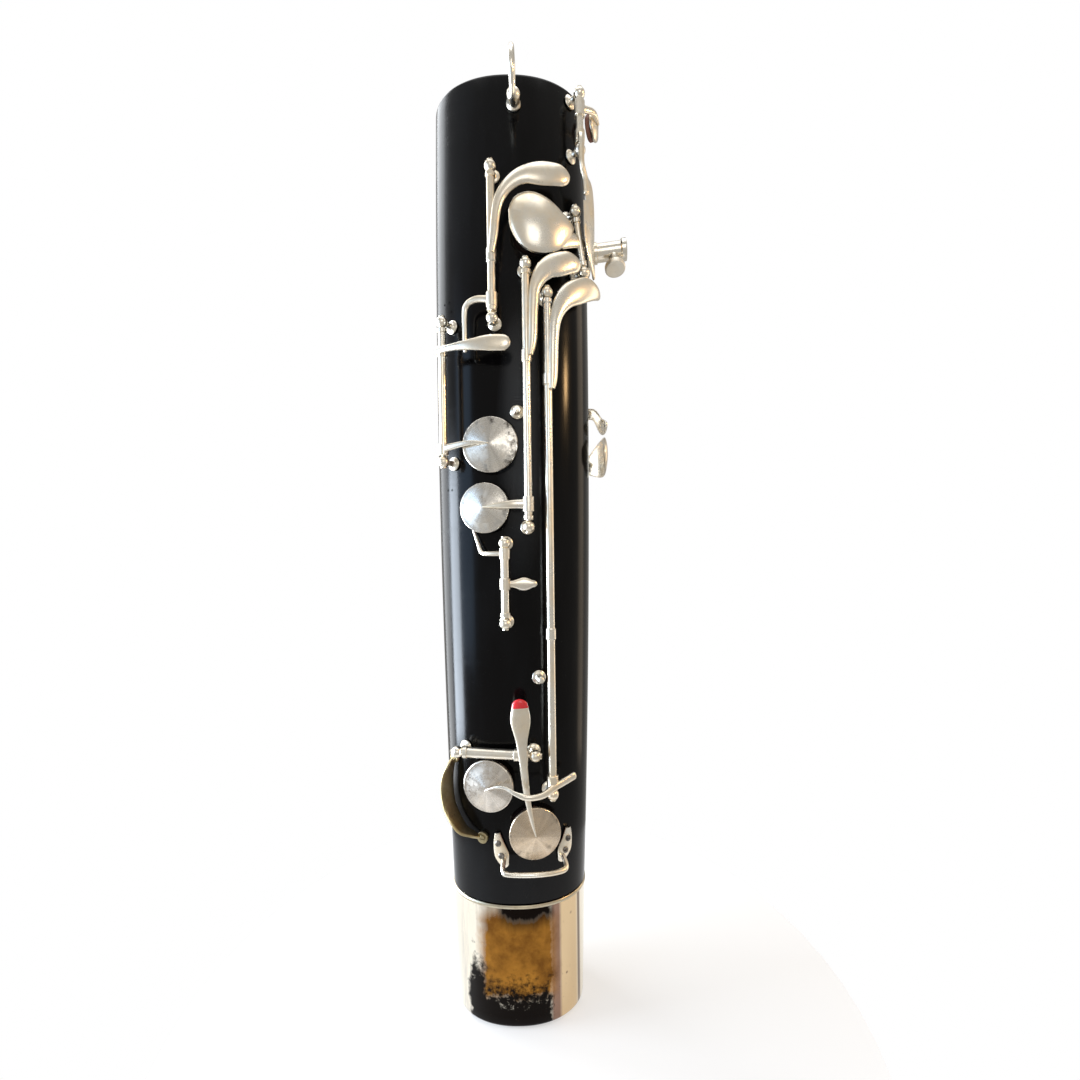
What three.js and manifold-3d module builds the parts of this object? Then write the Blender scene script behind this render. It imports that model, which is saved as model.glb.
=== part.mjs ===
// Boot joint of a bassoon: a double-bored body that stands on its metal cap, with its thumb-side
// and finger-side keywork. Millimetres, +Z up, the thumb side faces -Y, origin under the cap.
import * as THREE from 'three';
import { mergeVertices } from 'three/addons/utils/BufferGeometryUtils.js';
import Module from 'manifold-3d';

const wasm = await Module();
wasm.setup();

// Driving dimensions
const LENGTH = 430;
const CAP_HEIGHT = 56.6;
const HALF_WIDTH = 37.3;
const WIDEST_AT = 320;
const TAPER = 7.3e-5;
const DEPTH_RATIO = 0.75;
const SECTION_POWER = 2.15;
const GAP = 0.3;
const CAP_LEAN = 0.026;
const TENON_INSET = 1.9;
const CAP_WALL = 1.0;
const FLOOR = 1.6;

const BASS_X = -17.2;
const WING_X = 19.2;
const BASS_SOCKET = { radius: 16.0, depth: 42 };
const WING_SOCKET = { radius: 13.2, depth: 34 };
const LINER_WALL = 0.9;
const U_TUBE = { bore: 8.8, wall: 1.0, centreZ: 30, flangeInset: 1.7 };
const BODY_FOOT = 41;

const BALL = 2.6;
const PIN = 0.85;
const TUBE = 1.75;
const TUBE_HOLE = 1.25;
const HOLE_DEPTH = 4;
const PAD_THICKNESS = 2.4;
const SEAT_DROP = 0.9;
const CUP_RISE = 2.2;
const KEY_HEIGHT = 7;

// The outline of the body
const bodyHalfWidth = (z) => HALF_WIDTH - TAPER * (z - WIDEST_AT) ** 2;
const capHalfWidth = (z) => bodyHalfWidth(CAP_HEIGHT) - CAP_LEAN * (CAP_HEIGHT - z);
const halfWidth = (z) => (z < CAP_HEIGHT ? capHalfWidth(z) : bodyHalfWidth(z));
const radians = (degrees) => degrees * Math.PI / 180;
const power = (value, exponent) => Math.sign(value) * Math.abs(value) ** exponent;

// A point `height` above the skin; turn is 0 at the thumb side, 90 at +X, 180 at the finger side
function skin(turn, z, height = 0, inset = 0) {
  const a = halfWidth(z) - inset;
  const b = halfWidth(z) * DEPTH_RATIO - inset;
  const s = Math.sin(radians(turn));
  const c = Math.cos(radians(turn));
  const x = a * power(s, 2 / SECTION_POWER);
  const y = -b * power(c, 2 / SECTION_POWER);
  const n = normalAt(turn, z);
  return new THREE.Vector3(x + n.x * height, y + n.y * height, z);
}

function normalAt(turn, z) {
  const a = halfWidth(z);
  const b = a * DEPTH_RATIO;
  const lean = 2 - 2 / SECTION_POWER;
  const nx = power(Math.sin(radians(turn)), lean) / a;
  const ny = -power(Math.cos(radians(turn)), lean) / b;
  return new THREE.Vector3(nx, ny, 0).normalize();
}

// The turn of the thumb-side skin point at this x
function turnAt(x, z) {
  const share = Math.min(0.9999, Math.abs(x) / halfWidth(z));
  return Math.sign(x) * Math.asin(share ** (SECTION_POWER / 2)) * 180 / Math.PI;
}

const thumb = (x, z, height) => skin(turnAt(x, z), z, height);

// A frame whose +Z stands on the skin and whose +Y runs up the body
function skinFrame(turn, z, height = 0) {
  const out = normalAt(turn, z);
  const up = new THREE.Vector3(0, 0, 1);
  const side = new THREE.Vector3().crossVectors(up, out);
  const frame = new THREE.Matrix4().makeBasis(side, up, out);
  return frame.setPosition(skin(turn, z, height));
}

function solid(geometry) {
  const bare = new THREE.BufferGeometry();
  const source = geometry.index ? geometry : geometry.clone();
  bare.setAttribute('position', source.attributes.position.clone());
  if (source.index) bare.setIndex(source.index.clone());
  const welded = mergeVertices(bare, 1e-4);
  const mesh = new wasm.Mesh({
    numProp: 3,
    vertProperties: new Float32Array(welded.attributes.position.array),
    triVerts: new Uint32Array(welded.index.array),
  });
  mesh.merge();
  return new wasm.Manifold(mesh);
}

function geometryOf(manifold) {
  const mesh = manifold.getMesh();
  const geometry = new THREE.BufferGeometry();
  geometry.setAttribute('position', new THREE.BufferAttribute(mesh.vertProperties, 3));
  geometry.setIndex(new THREE.BufferAttribute(mesh.triVerts, 1));
  return geometry;
}

const joined = (...geometries) => geometries.map(solid).reduce((all, next) => all.add(next));

const boot = new THREE.Group();
const LOOKS = {
  ebonite: { color: 0x0b0b0d, roughness: 0.22, metalness: 0 },
  silver: { color: 0xd9d2c3, roughness: 0.24, metalness: 1 },
  satin: { color: 0xd3cdc0, roughness: 0.38, metalness: 1 },
  brass: { color: 0xa98a4a, roughness: 0.4, metalness: 1 },
  leather: { color: 0x8c4a35, roughness: 0.8, metalness: 0 },
  cork: { color: 0x9c7448, roughness: 0.9, metalness: 0 },
};

function put(name, shape, look, parent = boot) {
  const geometry = shape.isBufferGeometry ? geometryOf(solid(shape)) : geometryOf(shape);
  geometry.computeVertexNormals();
  const mesh = new THREE.Mesh(geometry, new THREE.MeshStandardMaterial(LOOKS[look]));
  mesh.name = name;
  parent.add(mesh);
  return mesh;
}

// Basic shapes, standing along +Z from their start
function lathe(profile, sides) {
  const points = profile.map(([r, z]) => new THREE.Vector2(r, z));
  return new THREE.LatheGeometry(points, sides).rotateX(Math.PI / 2);
}

function rod(radius, from, to, sides = 10) {
  return lathe([[0, from], [radius, from], [radius, to], [0, to]], sides);
}

function rodBetween(start, end, radius, sides = 8) {
  const along = new THREE.Vector3().subVectors(end, start);
  const geometry = rod(radius, 0, along.length(), sides);
  const turn = new THREE.Quaternion().setFromUnitVectors(new THREE.Vector3(0, 0, 1), along.normalize());
  return geometry.applyQuaternion(turn).translate(start.x, start.y, start.z);
}

function ball(centre, radius, around = 8, up = 6) {
  return new THREE.SphereGeometry(radius, around, up).translate(centre.x, centre.y, centre.z);
}

function bentRod(points, radius, steps, sides = 8) {
  const path = new THREE.CatmullRomCurve3(points, false, 'centripetal');
  const section = new THREE.Shape().absarc(0, 0, radius, 0, Math.PI * 2, false);
  const options = { steps, bevelEnabled: false, extrudePath: path, curveSegments: sides / 2 };
  return new THREE.ExtrudeGeometry(section, options);
}

// A blade that follows the skin: stations are [across, z, half width], across becomes a turn
function bladeOutline(stations, pieces) {
  const centre = new THREE.SplineCurve(stations.map(([x, z]) => new THREE.Vector2(x, z)));
  const widths = new THREE.SplineCurve(stations.map(([, , w], i) => new THREE.Vector2(i, w)));
  const left = [];
  const right = [];
  for (let i = 0; i <= pieces; i += 1) {
    const at = i / pieces;
    const point = centre.getPoint(at);
    const ahead = centre.getTangent(at);
    const reach = widths.getPoint(at).y;
    left.push(new THREE.Vector2(point.x - ahead.y * reach, point.y + ahead.x * reach));
    right.push(new THREE.Vector2(point.x + ahead.y * reach, point.y - ahead.x * reach));
  }
  return new THREE.Shape([...right, ...left.reverse()]);
}

// Bends a flat plate round the body: x becomes a turn, y the height up, z the height off the skin.
// With a lean, the height also grows by that much for each unit of x.
function wrap(geometry, turnOf, lean = 0) {
  const place = geometry.attributes.position;
  for (let i = 0; i < place.count; i += 1) {
    const turn = turnOf(place.getX(i), place.getY(i));
    const point = skin(turn, place.getY(i), place.getZ(i) + lean * place.getX(i));
    place.setXYZ(i, point.x, point.y, point.z);
  }
  return geometry;
}

function plate(shape, low, high, turnOf = turnAt, lean = 0) {
  const geometry = new THREE.ExtrudeGeometry(shape, { depth: high - low, bevelEnabled: false });
  return wrap(geometry.translate(0, 0, low), turnOf, lean);
}

const blade = (stations, low, high, pieces = 12, turnOf = turnAt, lean = 0) =>
  plate(bladeOutline(stations, pieces), low, high, turnOf, lean);

// Posts, hinge tubes, cups and pads
function ballPost(name, turn, centre, pins) {
  const root = skin(turn, centre.z, GAP);
  const frame = skinFrame(turn, centre.z, 0);
  const foot = lathe([[0, GAP], [3.1, GAP], [3.1, 1.5], [0, 1.5]], 10).applyMatrix4(frame);
  let shape = joined(foot, rodBetween(root, centre, 1.25, 6), ball(centre, BALL));
  for (const pin of pins) {
    const tip = centre.clone().addScaledVector(pin, BALL + GAP + 2.2);
    shape = shape.add(solid(rodBetween(centre, tip, PIN, 6)));
  }
  return put(name, shape, 'silver');
}

// A tube from `start` to `end` with a blind hole for a pivot at each end
function hingeTube(start, end, radius = TUBE) {
  const length = start.distanceTo(end);
  const profile = [
    [0, HOLE_DEPTH], [TUBE_HOLE, HOLE_DEPTH], [TUBE_HOLE, 0], [radius, 0],
    [radius, length], [TUBE_HOLE, length], [TUBE_HOLE, length - HOLE_DEPTH], [0, length - HOLE_DEPTH],
  ];
  const along = new THREE.Vector3().subVectors(end, start).normalize();
  const turn = new THREE.Quaternion().setFromUnitVectors(new THREE.Vector3(0, 0, 1), along);
  return lathe(profile, 8).applyQuaternion(turn).translate(start.x, start.y, start.z);
}

// Two posts and the tube between them
function hinge(names, turns, low, high, radius = TUBE) {
  const up = new THREE.Vector3().subVectors(high, low).normalize();
  const down = up.clone().negate();
  ballPost(names[0], turns[0], low, [up]);
  ballPost(names[1], turns[1], high, [down]);
  const reach = BALL + GAP;
  return hingeTube(low.clone().addScaledVector(up, reach), high.clone().addScaledVector(down, reach), radius);
}

function cup(turn, z, radius, lift = 0) {
  const base = PAD_THICKNESS - SEAT_DROP + 2 * GAP + lift;
  const profile = [
    [0, base], [radius, base], [radius, base + 1.5], [radius * 0.93, base + 2.0], [0, base + 2 + CUP_RISE],
  ];
  return lathe(profile, 20).applyMatrix4(skinFrame(turn, z));
}

function pad(name, turn, z, radius, lift = 0) {
  const base = GAP - SEAT_DROP + lift;
  put(name, rod(radius, base, base + PAD_THICKNESS, 16).applyMatrix4(skinFrame(turn, z)), 'leather');
}

const CUP_TOP = PAD_THICKNESS - SEAT_DROP + 2 * GAP + 2.6;

const SIDE_DISH = { turn: 72, z: 418.6 };

// Every pad seat: where it is, its radius and the tone hole under it
const SEATS = [
  { turn: turnAt(-8.7, 263.9), z: 263.9, radius: 13.2, hole: 6.5, boreX: BASS_X },
  { turn: turnAt(-11.4, 236.1), z: 236.1, radius: 12.0, hole: 6, boreX: BASS_X },
  { turn: turnAt(11.5, 361), z: 361, radius: 12.6, hole: 7, boreX: WING_X },
  { turn: turnAt(-11.4, 112.4), z: 112.4, radius: 12.4, hole: 6, boreX: BASS_X },
  { turn: turnAt(8.0, 91.1), z: 91.1, radius: 12.4, hole: 5.5, boreX: WING_X },
  { turn: SIDE_DISH.turn, z: SIDE_DISH.z, radius: 7, hole: 3, boreX: WING_X },
  { turn: 164, z: 172, radius: 12.8, hole: 6.5, boreX: WING_X },
  { turn: 158, z: 318, radius: 9.8, hole: 4.5, boreX: WING_X },
  { turn: 184, z: 228, radius: 10.8, hole: 5, boreX: WING_X },
];
const FINGER_HOLES = [{ turn: 176, z: 300 }, { turn: 176, z: 262 }];
const OLD_SCREW_HOLES = [[-28.1, 331.9], [-30.7, 331.9], [-27, 327.3], [-28, 245.4], [-30.2, 245.5]];

// The body
function sectionShape(z, inset) {
  const points = [];
  for (let turn = 0; turn < 360; turn += 7.5) {
    const point = skin(turn, z, 0, inset);
    points.push(new THREE.Vector2(point.x, point.y));
  }
  return new THREE.Shape(points);
}

// A block with the body's outline between two levels, following its taper
function bodyBlock(low, high, inset, steps) {
  const middle = (low + high) / 2;
  const options = { depth: high - low, steps, bevelEnabled: false };
  const geometry = new THREE.ExtrudeGeometry(sectionShape(middle, inset), options).translate(0, 0, low);
  const place = geometry.attributes.position;
  const a = halfWidth(middle) - inset;
  const b = halfWidth(middle) * DEPTH_RATIO - inset;
  for (let i = 0; i < place.count; i += 1) {
    const z = place.getZ(i);
    const stretchX = (halfWidth(z) - inset) / a;
    const stretchY = (halfWidth(z) * DEPTH_RATIO - inset) / b;
    place.setXY(i, place.getX(i) * stretchX, place.getY(i) * stretchY);
  }
  return geometry;
}

function prism(z, low, high, inset) {
  const options = { depth: high - low, bevelEnabled: false };
  return new THREE.ExtrudeGeometry(sectionShape(z, inset), options).translate(0, 0, low);
}

function upright(x, radius, low, high, sides) {
  return solid(rod(radius, low, high, sides).translate(x, 0, 0));
}

function boreCone(x, lowRadius, highRadius, low, high) {
  const profile = [[0, low], [lowRadius, low], [highRadius, high], [0, high]];
  return solid(lathe(profile, 16).translate(x, 0, 0));
}

function seatCut(seat) {
  const frame = skinFrame(seat.turn, seat.z);
  const flat = solid(rod(seat.radius, -SEAT_DROP, 12, 20).applyMatrix4(frame));
  const mouth = skin(seat.turn, seat.z, 1);
  const bore = new THREE.Vector3(seat.boreX, 0, seat.z);
  return flat.add(solid(rodBetween(mouth, bore, seat.hole, 12)));
}

function bootBody() {
  let body = solid(bodyBlock(CAP_HEIGHT + GAP, LENGTH, 0, 10));
  body = body.add(solid(prism(CAP_HEIGHT, BODY_FOOT, CAP_HEIGHT + 6, TENON_INSET)));
  body = body.subtract(boreCone(BASS_X, U_TUBE.bore, 13, BODY_FOOT - 5, LENGTH - 20));
  body = body.subtract(boreCone(WING_X, U_TUBE.bore, 8.2, BODY_FOOT - 5, LENGTH - 20));
  body = body.subtract(upright(BASS_X, BASS_SOCKET.radius, LENGTH - BASS_SOCKET.depth, LENGTH + 5, 28));
  body = body.subtract(upright(WING_X, WING_SOCKET.radius, LENGTH - WING_SOCKET.depth, LENGTH + 5, 24));
  for (const seat of SEATS) body = body.subtract(seatCut(seat));
  for (const hole of FINGER_HOLES) {
    const mouth = skin(hole.turn, hole.z, 2);
    body = body.subtract(solid(rodBetween(mouth, new THREE.Vector3(WING_X, 0, hole.z + 14), 3.4, 12)));
  }
  for (const [x, z] of OLD_SCREW_HOLES) {
    const frame = skinFrame(turnAt(x, z), z);
    body = body.subtract(solid(rod(0.7, -3, 1, 6).applyMatrix4(frame)));
  }
  put('boot_body', body, 'ebonite');
}

function socketLiner(name, x, socket) {
  const outer = socket.radius - GAP;
  const inner = outer - LINER_WALL;
  const low = LENGTH - socket.depth + GAP;
  const high = LENGTH - 0.4;
  const profile = [[inner, low], [outer, low], [outer, high], [inner, high], [inner, low]];
  put(name, lathe(profile, 28).translate(x, 0, 0), 'silver');
}

// The cap stands under the body and slides off downwards
function bootCap() {
  const shell = solid(bodyBlock(0, CAP_HEIGHT, 0, 4));
  const well = solid(prism(0, FLOOR, BODY_FOOT, CAP_WALL));
  const mouth = solid(prism(CAP_HEIGHT, BODY_FOOT - 1, CAP_HEIGHT + 1, TENON_INSET - GAP));
  put('boot_cap', shell.subtract(well).subtract(mouth), 'silver');
}

// The U tube joins the two bores under the body
function uBend(radius) {
  const spread = (WING_X - BASS_X) / 2;
  const top = BODY_FOOT - 1.3;
  const depth = U_TUBE.centreZ;
  const points = [];
  const middle = (WING_X + BASS_X) / 2;
  points.push(new THREE.Vector3(BASS_X, 0, top));
  for (let i = 0; i <= 8; i += 1) {
    const angle = Math.PI * i / 8;
    const x = middle - spread * Math.cos(angle);
    points.push(new THREE.Vector3(x, 0, depth - 16 * Math.sin(angle)));
  }
  points.push(new THREE.Vector3(WING_X, 0, top));
  return bentRod(points, radius, 12, 14);
}

function uTube() {
  const top = BODY_FOOT - 1.3;
  const flange = prism(10, top - 1.6, top, U_TUBE.flangeInset);
  let shape = solid(uBend(U_TUBE.bore + U_TUBE.wall)).add(solid(flange));
  shape = shape.subtract(upright(BASS_X, U_TUBE.bore, top - 3, top + 1, 14));
  shape = shape.subtract(upright(WING_X, U_TUBE.bore, top - 3, top + 1, 14));
  shape = shape.subtract(solid(uBend(U_TUBE.bore)));
  put('u_tube', shape, 'brass');
  let gasket = solid(prism(10, top + GAP, BODY_FOOT - GAP, U_TUBE.flangeInset));
  gasket = gasket.subtract(upright(BASS_X, U_TUBE.bore, top - 3, top + 3, 20));
  gasket = gasket.subtract(upright(WING_X, U_TUBE.bore, top - 3, top + 3, 20));
  put('u_tube_gasket', gasket, 'cork');
}

// Strap ring, near the rim: the ring's wire passes up through the post's eye
const RING = { x: 3, z: 415.5, eye: 5.2, mean: 8.9, wire: 1.1 };

function strapRing() {
  const turn = turnAt(RING.x, RING.z);
  const eye = skin(turn, RING.z, RING.eye);
  const frame = skinFrame(turn, RING.z);
  const knob = lathe([[0, GAP], [3.3, GAP], [3.3, 1.2], [2.9, 2.2], [2.9, 6.2], [2.2, 7.9], [0, 8.3]], 14);
  const post = solid(knob.applyMatrix4(frame));
  const slotLow = new THREE.Vector3(eye.x, eye.y, RING.z - 8);
  const slotHigh = new THREE.Vector3(eye.x, eye.y, RING.z + 8);
  const passage = solid(rodBetween(slotLow, slotHigh, RING.wire + 0.75, 10));
  put('strap_ring_post', post.subtract(passage), 'silver');
  const circle = [];
  for (let i = 0; i <= 8; i += 1) {
    const angle = Math.PI * 2 * i / 8;
    circle.push([RING.mean + RING.wire * Math.cos(angle), RING.wire * Math.sin(angle)]);
  }
  const ring = lathe(circle, 28).rotateY(Math.PI / 2);
  put('strap_ring', ring.translate(eye.x, eye.y - RING.mean, RING.z), 'silver');
}

// Hand rest socket and its thumb screw, on the right edge
const SOCKET = { from: [37.6, 1.0, 365.0], to: [57.2, -1.0, 366.4], radius: 4.35, bore: 3.3, depth: 15 };
const SCREW_SIDE = new THREE.Vector3(0, -0.33, -0.944);

function handRest() {
  const from = new THREE.Vector3(...SOCKET.from);
  const to = new THREE.Vector3(...SOCKET.to);
  const along = new THREE.Vector3().subVectors(to, from).normalize();
  const lip = rodBetween(to.clone().addScaledVector(along, -1.6), to, SOCKET.radius + 0.85, 16);
  const bar = rodBetween(from, to, SOCKET.radius, 16);
  const basePlate = [[-9, 0], [9, 0], [9, 22], [-9, 22]].map(([x, y]) => new THREE.Vector2(x, y + 354.5));
  const base = plate(new THREE.Shape(basePlate), GAP, 2.3, (x) => 90 + x);
  const past = to.clone().addScaledVector(along, 2);
  const inside = to.clone().addScaledVector(along, -SOCKET.depth);
  const seat = to.clone().addScaledVector(along, -6.6);
  const side = SCREW_SIDE.clone().addScaledVector(along, -SCREW_SIDE.dot(along)).normalize();
  const boss = rodBetween(seat, seat.clone().addScaledVector(side, 7.0), 2.6, 12);
  let shape = joined(base, bar, lip, boss).subtract(solid(rodBetween(inside, past, SOCKET.bore, 16)));
  shape = shape.subtract(solid(rodBetween(seat, seat.clone().addScaledVector(side, 9), 1.5, 12)));
  shape = shape.subtract(solid(bodyBlock(345, 390, -GAP, 4)));
  put('hand_rest_socket', shape, 'silver');
  const at = (reach) => seat.clone().addScaledVector(side, reach);
  const head = rodBetween(at(9.3), at(12.3), 5, 18);
  const neck = rodBetween(at(7.3), at(9.8), 2.4, 12);
  const shank = rodBetween(at(3.7), at(9), 1.2, 10);
  put('hand_rest_screw', joined(head, neck, shank), 'satin');
}

// Guards that stand round the two lowest pads
function guards() {
  const hoop = [[-27.9, 120.6], [-28.4, 113], [-28.5, 105.5], [-27, 98.5], [-22.5, 91.8], [-15.7, 87.9]];
  const edge = hoop.map(([x, z]) => [x, z, 0.7]);
  const feet = [[-27.9, 121], [-15.4, 87.6]];
  let curved = joined(blade(edge, 1.4, 5.2, 14), blade(edge.slice(1, 5), 1.4, 8.4, 10));
  for (const [x, z] of feet) {
    const disc = rod(2.6, GAP, 1.9, 10).applyMatrix4(skinFrame(turnAt(x, z), z));
    curved = curved.add(solid(disc));
  }
  curved = curved.subtract(solid(bodyBlock(70, 135, -GAP, 4)));
  put('curved_pad_guard', curved, 'brass');
  const bar = [[-5.6, 78.5, 1.4], [-5.2, 76.6, 6.4], [-2.6, 76, 7.9], [8, 75.6, 8.2], [16.6, 75.1, 7.9],
    [19.4, 75.5, 6.2], [20.2, 77.6, 1.4]];
  const wire = bentRod(bar.map(([x, z, h]) => thumb(x, z, h)), 1.1, 18, 8);
  const left = blade([[-8.4, 90.4, 1.2], [-7.9, 86, 2.3], [-6.6, 80.5, 3.2], [-5.4, 76.5, 2.0]], GAP, 1.7, 8);
  const right = blade([[22.9, 89.6, 1.2], [22.4, 85, 2.2], [21.2, 80, 3.0], [20, 76.2, 1.8]], GAP, 1.7, 8);
  const guard = joined(wire, left, right).subtract(solid(bodyBlock(60, 100, -GAP, 3)));
  put('bar_pad_guard', guard, 'silver');
}

// Thumb-side keys
function bflatLever() {
  const top = thumb(-6.45, 383.2, KEY_HEIGHT);
  const low = new THREE.Vector3(top.x, top.y, 317.7);
  const turns = [turnAt(-6.45, 317.7), turnAt(-6.45, 383.2)];
  const tube = hinge(['bflat_lever_post_low', 'bflat_lever_post_high'], turns, low, top);
  const touch = blade([[-6.2, 345, 1.4], [-5.2, 353, 1.7], [-4.4, 361.5, 1.8], [-2.8, 368.6, 2.1],
    [1.0, 374.4, 2.8], [6.2, 378.3, 3.7], [12.4, 379.8, 5.1], [18.4, 380.8, 4.8], [22, 381.3, 2.4]],
  6.6, 9.4, 18);
  const arm = bentRod([new THREE.Vector3(top.x, top.y - 0.6, 325.4), thumb(-12.6, 326.4, 6.6),
    thumb(-16.6, 324.6, 6.1), thumb(-17.5, 319.8, 5.9), thumb(-17.4, 305, 5.9)], 1.1, 14);
  const collar = rod(2.5, 322.2, 328.6, 12).translate(top.x, top.y, 0);
  put('bflat_lever', joined(tube, touch, arm, collar).subtract(pivotHoles(low, top)), 'silver');
}

// The blind holes at the ends of a hinge, cut again after the arms are joined on
function pivotHoles(low, high) {
  const up = new THREE.Vector3().subVectors(high, low).normalize();
  const from = low.clone().addScaledVector(up, -1);
  const lowEnd = low.clone().addScaledVector(up, BALL + GAP + HOLE_DEPTH);
  const to = high.clone().addScaledVector(up, 1);
  const highEnd = high.clone().addScaledVector(up, -(BALL + GAP + HOLE_DEPTH));
  return solid(rodBetween(from, lowEnd, TUBE_HOLE, 8)).add(solid(rodBetween(highEnd, to, TUBE_HOLE, 8)));
}

function bflatPadKey() {
  const top = thumb(-26.3, 319.6, KEY_HEIGHT);
  const low = new THREE.Vector3(top.x, top.y, 257.1);
  const turns = [turnAt(-26.3, 257.1), turnAt(-26.3, 319.6)];
  const tube = hinge(['bflat_pad_post_low', 'bflat_pad_post_high'], turns, low, top);
  const lever = blade([[-27.2, 306.3, 1.6], [-21, 306.2, 1.6], [-14.5, 306.1, 2.4], [-8, 306.2, 3.4],
    [-2.6, 306, 3.4], [0.4, 306, 1.8]], 8.3, 10.0, 12);
  const root = bentRod([new THREE.Vector3(top.x, top.y, 306.3), thumb(-25.4, 306.3, 9.1)], 1.5, 2);
  const arm = bentRod([new THREE.Vector3(top.x, top.y, 262.6), thumb(-25, 263, 7.8),
    thumb(-16, 264.4, 6.6), thumb(-9.8, 264.2, CUP_TOP + 1.1)], 1.1, 8);
  const dish = cup(SEATS[0].turn, SEATS[0].z, 12.4);
  const shape = joined(tube, lever, root, arm, dish).subtract(pivotHoles(low, top));
  put('bflat_pad_key', shape, 'silver');
  pad('bflat_pad', SEATS[0].turn, SEATS[0].z, 11.2);
}

const OPEN_LIFT = 3.2;

function lowEPlate() {
  const top = thumb(26.3, 368.6, 6.4);
  const low = thumb(29.5, 342.9, 6.4);
  const turns = [turnAt(29.5, 342.9), turnAt(26.3, 368.6)];
  const tube = hinge(['low_e_post_low', 'low_e_post_high'], turns, low, top, 1.5);
  const outline = [[0.4, 364], [2.8, 369.6], [8.6, 372.4], [15.6, 370.4], [21.6, 365.1], [25.4, 359.6],
    [20.6, 349.6], [14.3, 346.2], [8.4, 346.9], [4.0, 350.6], [1.0, 357]];
  const curve = new THREE.SplineCurve(outline.concat([outline[0]]).map(([x, z]) => new THREE.Vector2(x, z)));
  const points = curve.getPoints(30).slice(0, -1).reverse();
  const middle = new THREE.Vector2(12, 360.2);
  const smaller = points.map((point) => point.clone().sub(middle).multiplyScalar(0.72).add(middle));
  const base = plate(new THREE.Shape(points), 5.8, 7.4);
  const dome = plate(new THREE.Shape(smaller), 7.0, 8.6);
  const arm = blade([[22, 354.6, 4.2], [25.5, 355.6, 3.4], [27.6, 356, 2.8]], 5.8, 7.2, 5);
  put('low_e_plate_key', joined(tube, base, dome, arm).subtract(pivotHoles(low, top)), 'silver');
  pad('low_e_pad', SEATS[2].turn, SEATS[2].z, 9.2, OPEN_LIFT - 0.7);
}

function fsharpKey() {
  const top = thumb(6.75, 340.9, KEY_HEIGHT);
  const low = new THREE.Vector3(top.x, top.y, 227.4);
  const turns = [turnAt(6.75, 227.4), turnAt(6.75, 340.9)];
  const tube = hinge(['fsharp_post_low', 'fsharp_post_high'], turns, low, top);
  middlePost('fsharp_post_middle', 2.9, 278.5);
  const touch = blade([[8.0, 301, 1.2], [9.0, 308, 1.7], [9.5, 322.8, 1.9], [10.4, 331, 2.3],
    [13.6, 337.6, 3.7], [18, 341.2, 5.0], [22, 343.2, 4.6], [26.6, 344.6, 2.0]], 6.4, 9.2, 18);
  const arm = bentRod([new THREE.Vector3(top.x, top.y - 0.5, 237.2), thumb(0, 237, 7.8),
    thumb(-6, 236.6, 7), thumb(-11.4, 236.2, CUP_TOP + 1.1)], 1.1, 8);
  const collar = rod(2.5, 233.8, 240.4, 12).translate(top.x, top.y, 0);
  const dish = cup(SEATS[1].turn, SEATS[1].z, 11.2);
  const shape = joined(tube, touch, arm, collar, dish).subtract(pivotHoles(low, top));
  put('fsharp_thumb_key', shape, 'silver');
  pad('fsharp_pad', SEATS[1].turn, SEATS[1].z, 9.2);
}

// A short post beside a long hinge tube, which keeps it from bending
function middlePost(name, x, z) {
  const centre = thumb(x, z, 5);
  const foot = lathe([[0, GAP], [2.6, GAP], [2.6, 1.5], [0, 1.5]], 8);
  const placed = foot.applyMatrix4(skinFrame(turnAt(x, z), z));
  const root = thumb(x, z, GAP);
  put(name, joined(placed, rodBetween(root, centre, 1.1, 6), ball(centre, 1.9, 8, 5)), 'silver');
}

function linkLever() {
  const top = thumb(-2.8, 220.4, KEY_HEIGHT);
  const low = new THREE.Vector3(top.x, top.y, 185.6);
  const turns = [turnAt(-2.8, 185.6), turnAt(-2.8, 220.4)];
  const tube = hinge(['link_lever_post_low', 'link_lever_post_high'], turns, low, top);
  const touch = blade([[-4.4, 202.8, 1.2], [0, 202.7, 1.5], [4.6, 202.6, 2.9], [8.2, 202.6, 1.6]],
    5.8, 7.4, 9);
  const arm = bentRod([new THREE.Vector3(top.x, top.y, 215.9), thumb(-9, 215.9, 5.6),
    thumb(-12.4, 216.4, 4.2), thumb(-14.4, 220.5, 2.8), thumb(-16.8, 226.4, 1.45)], 0.8, 12, 6);
  put('link_lever', joined(tube, touch, arm).subtract(pivotHoles(low, top)), 'silver');
}

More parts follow.
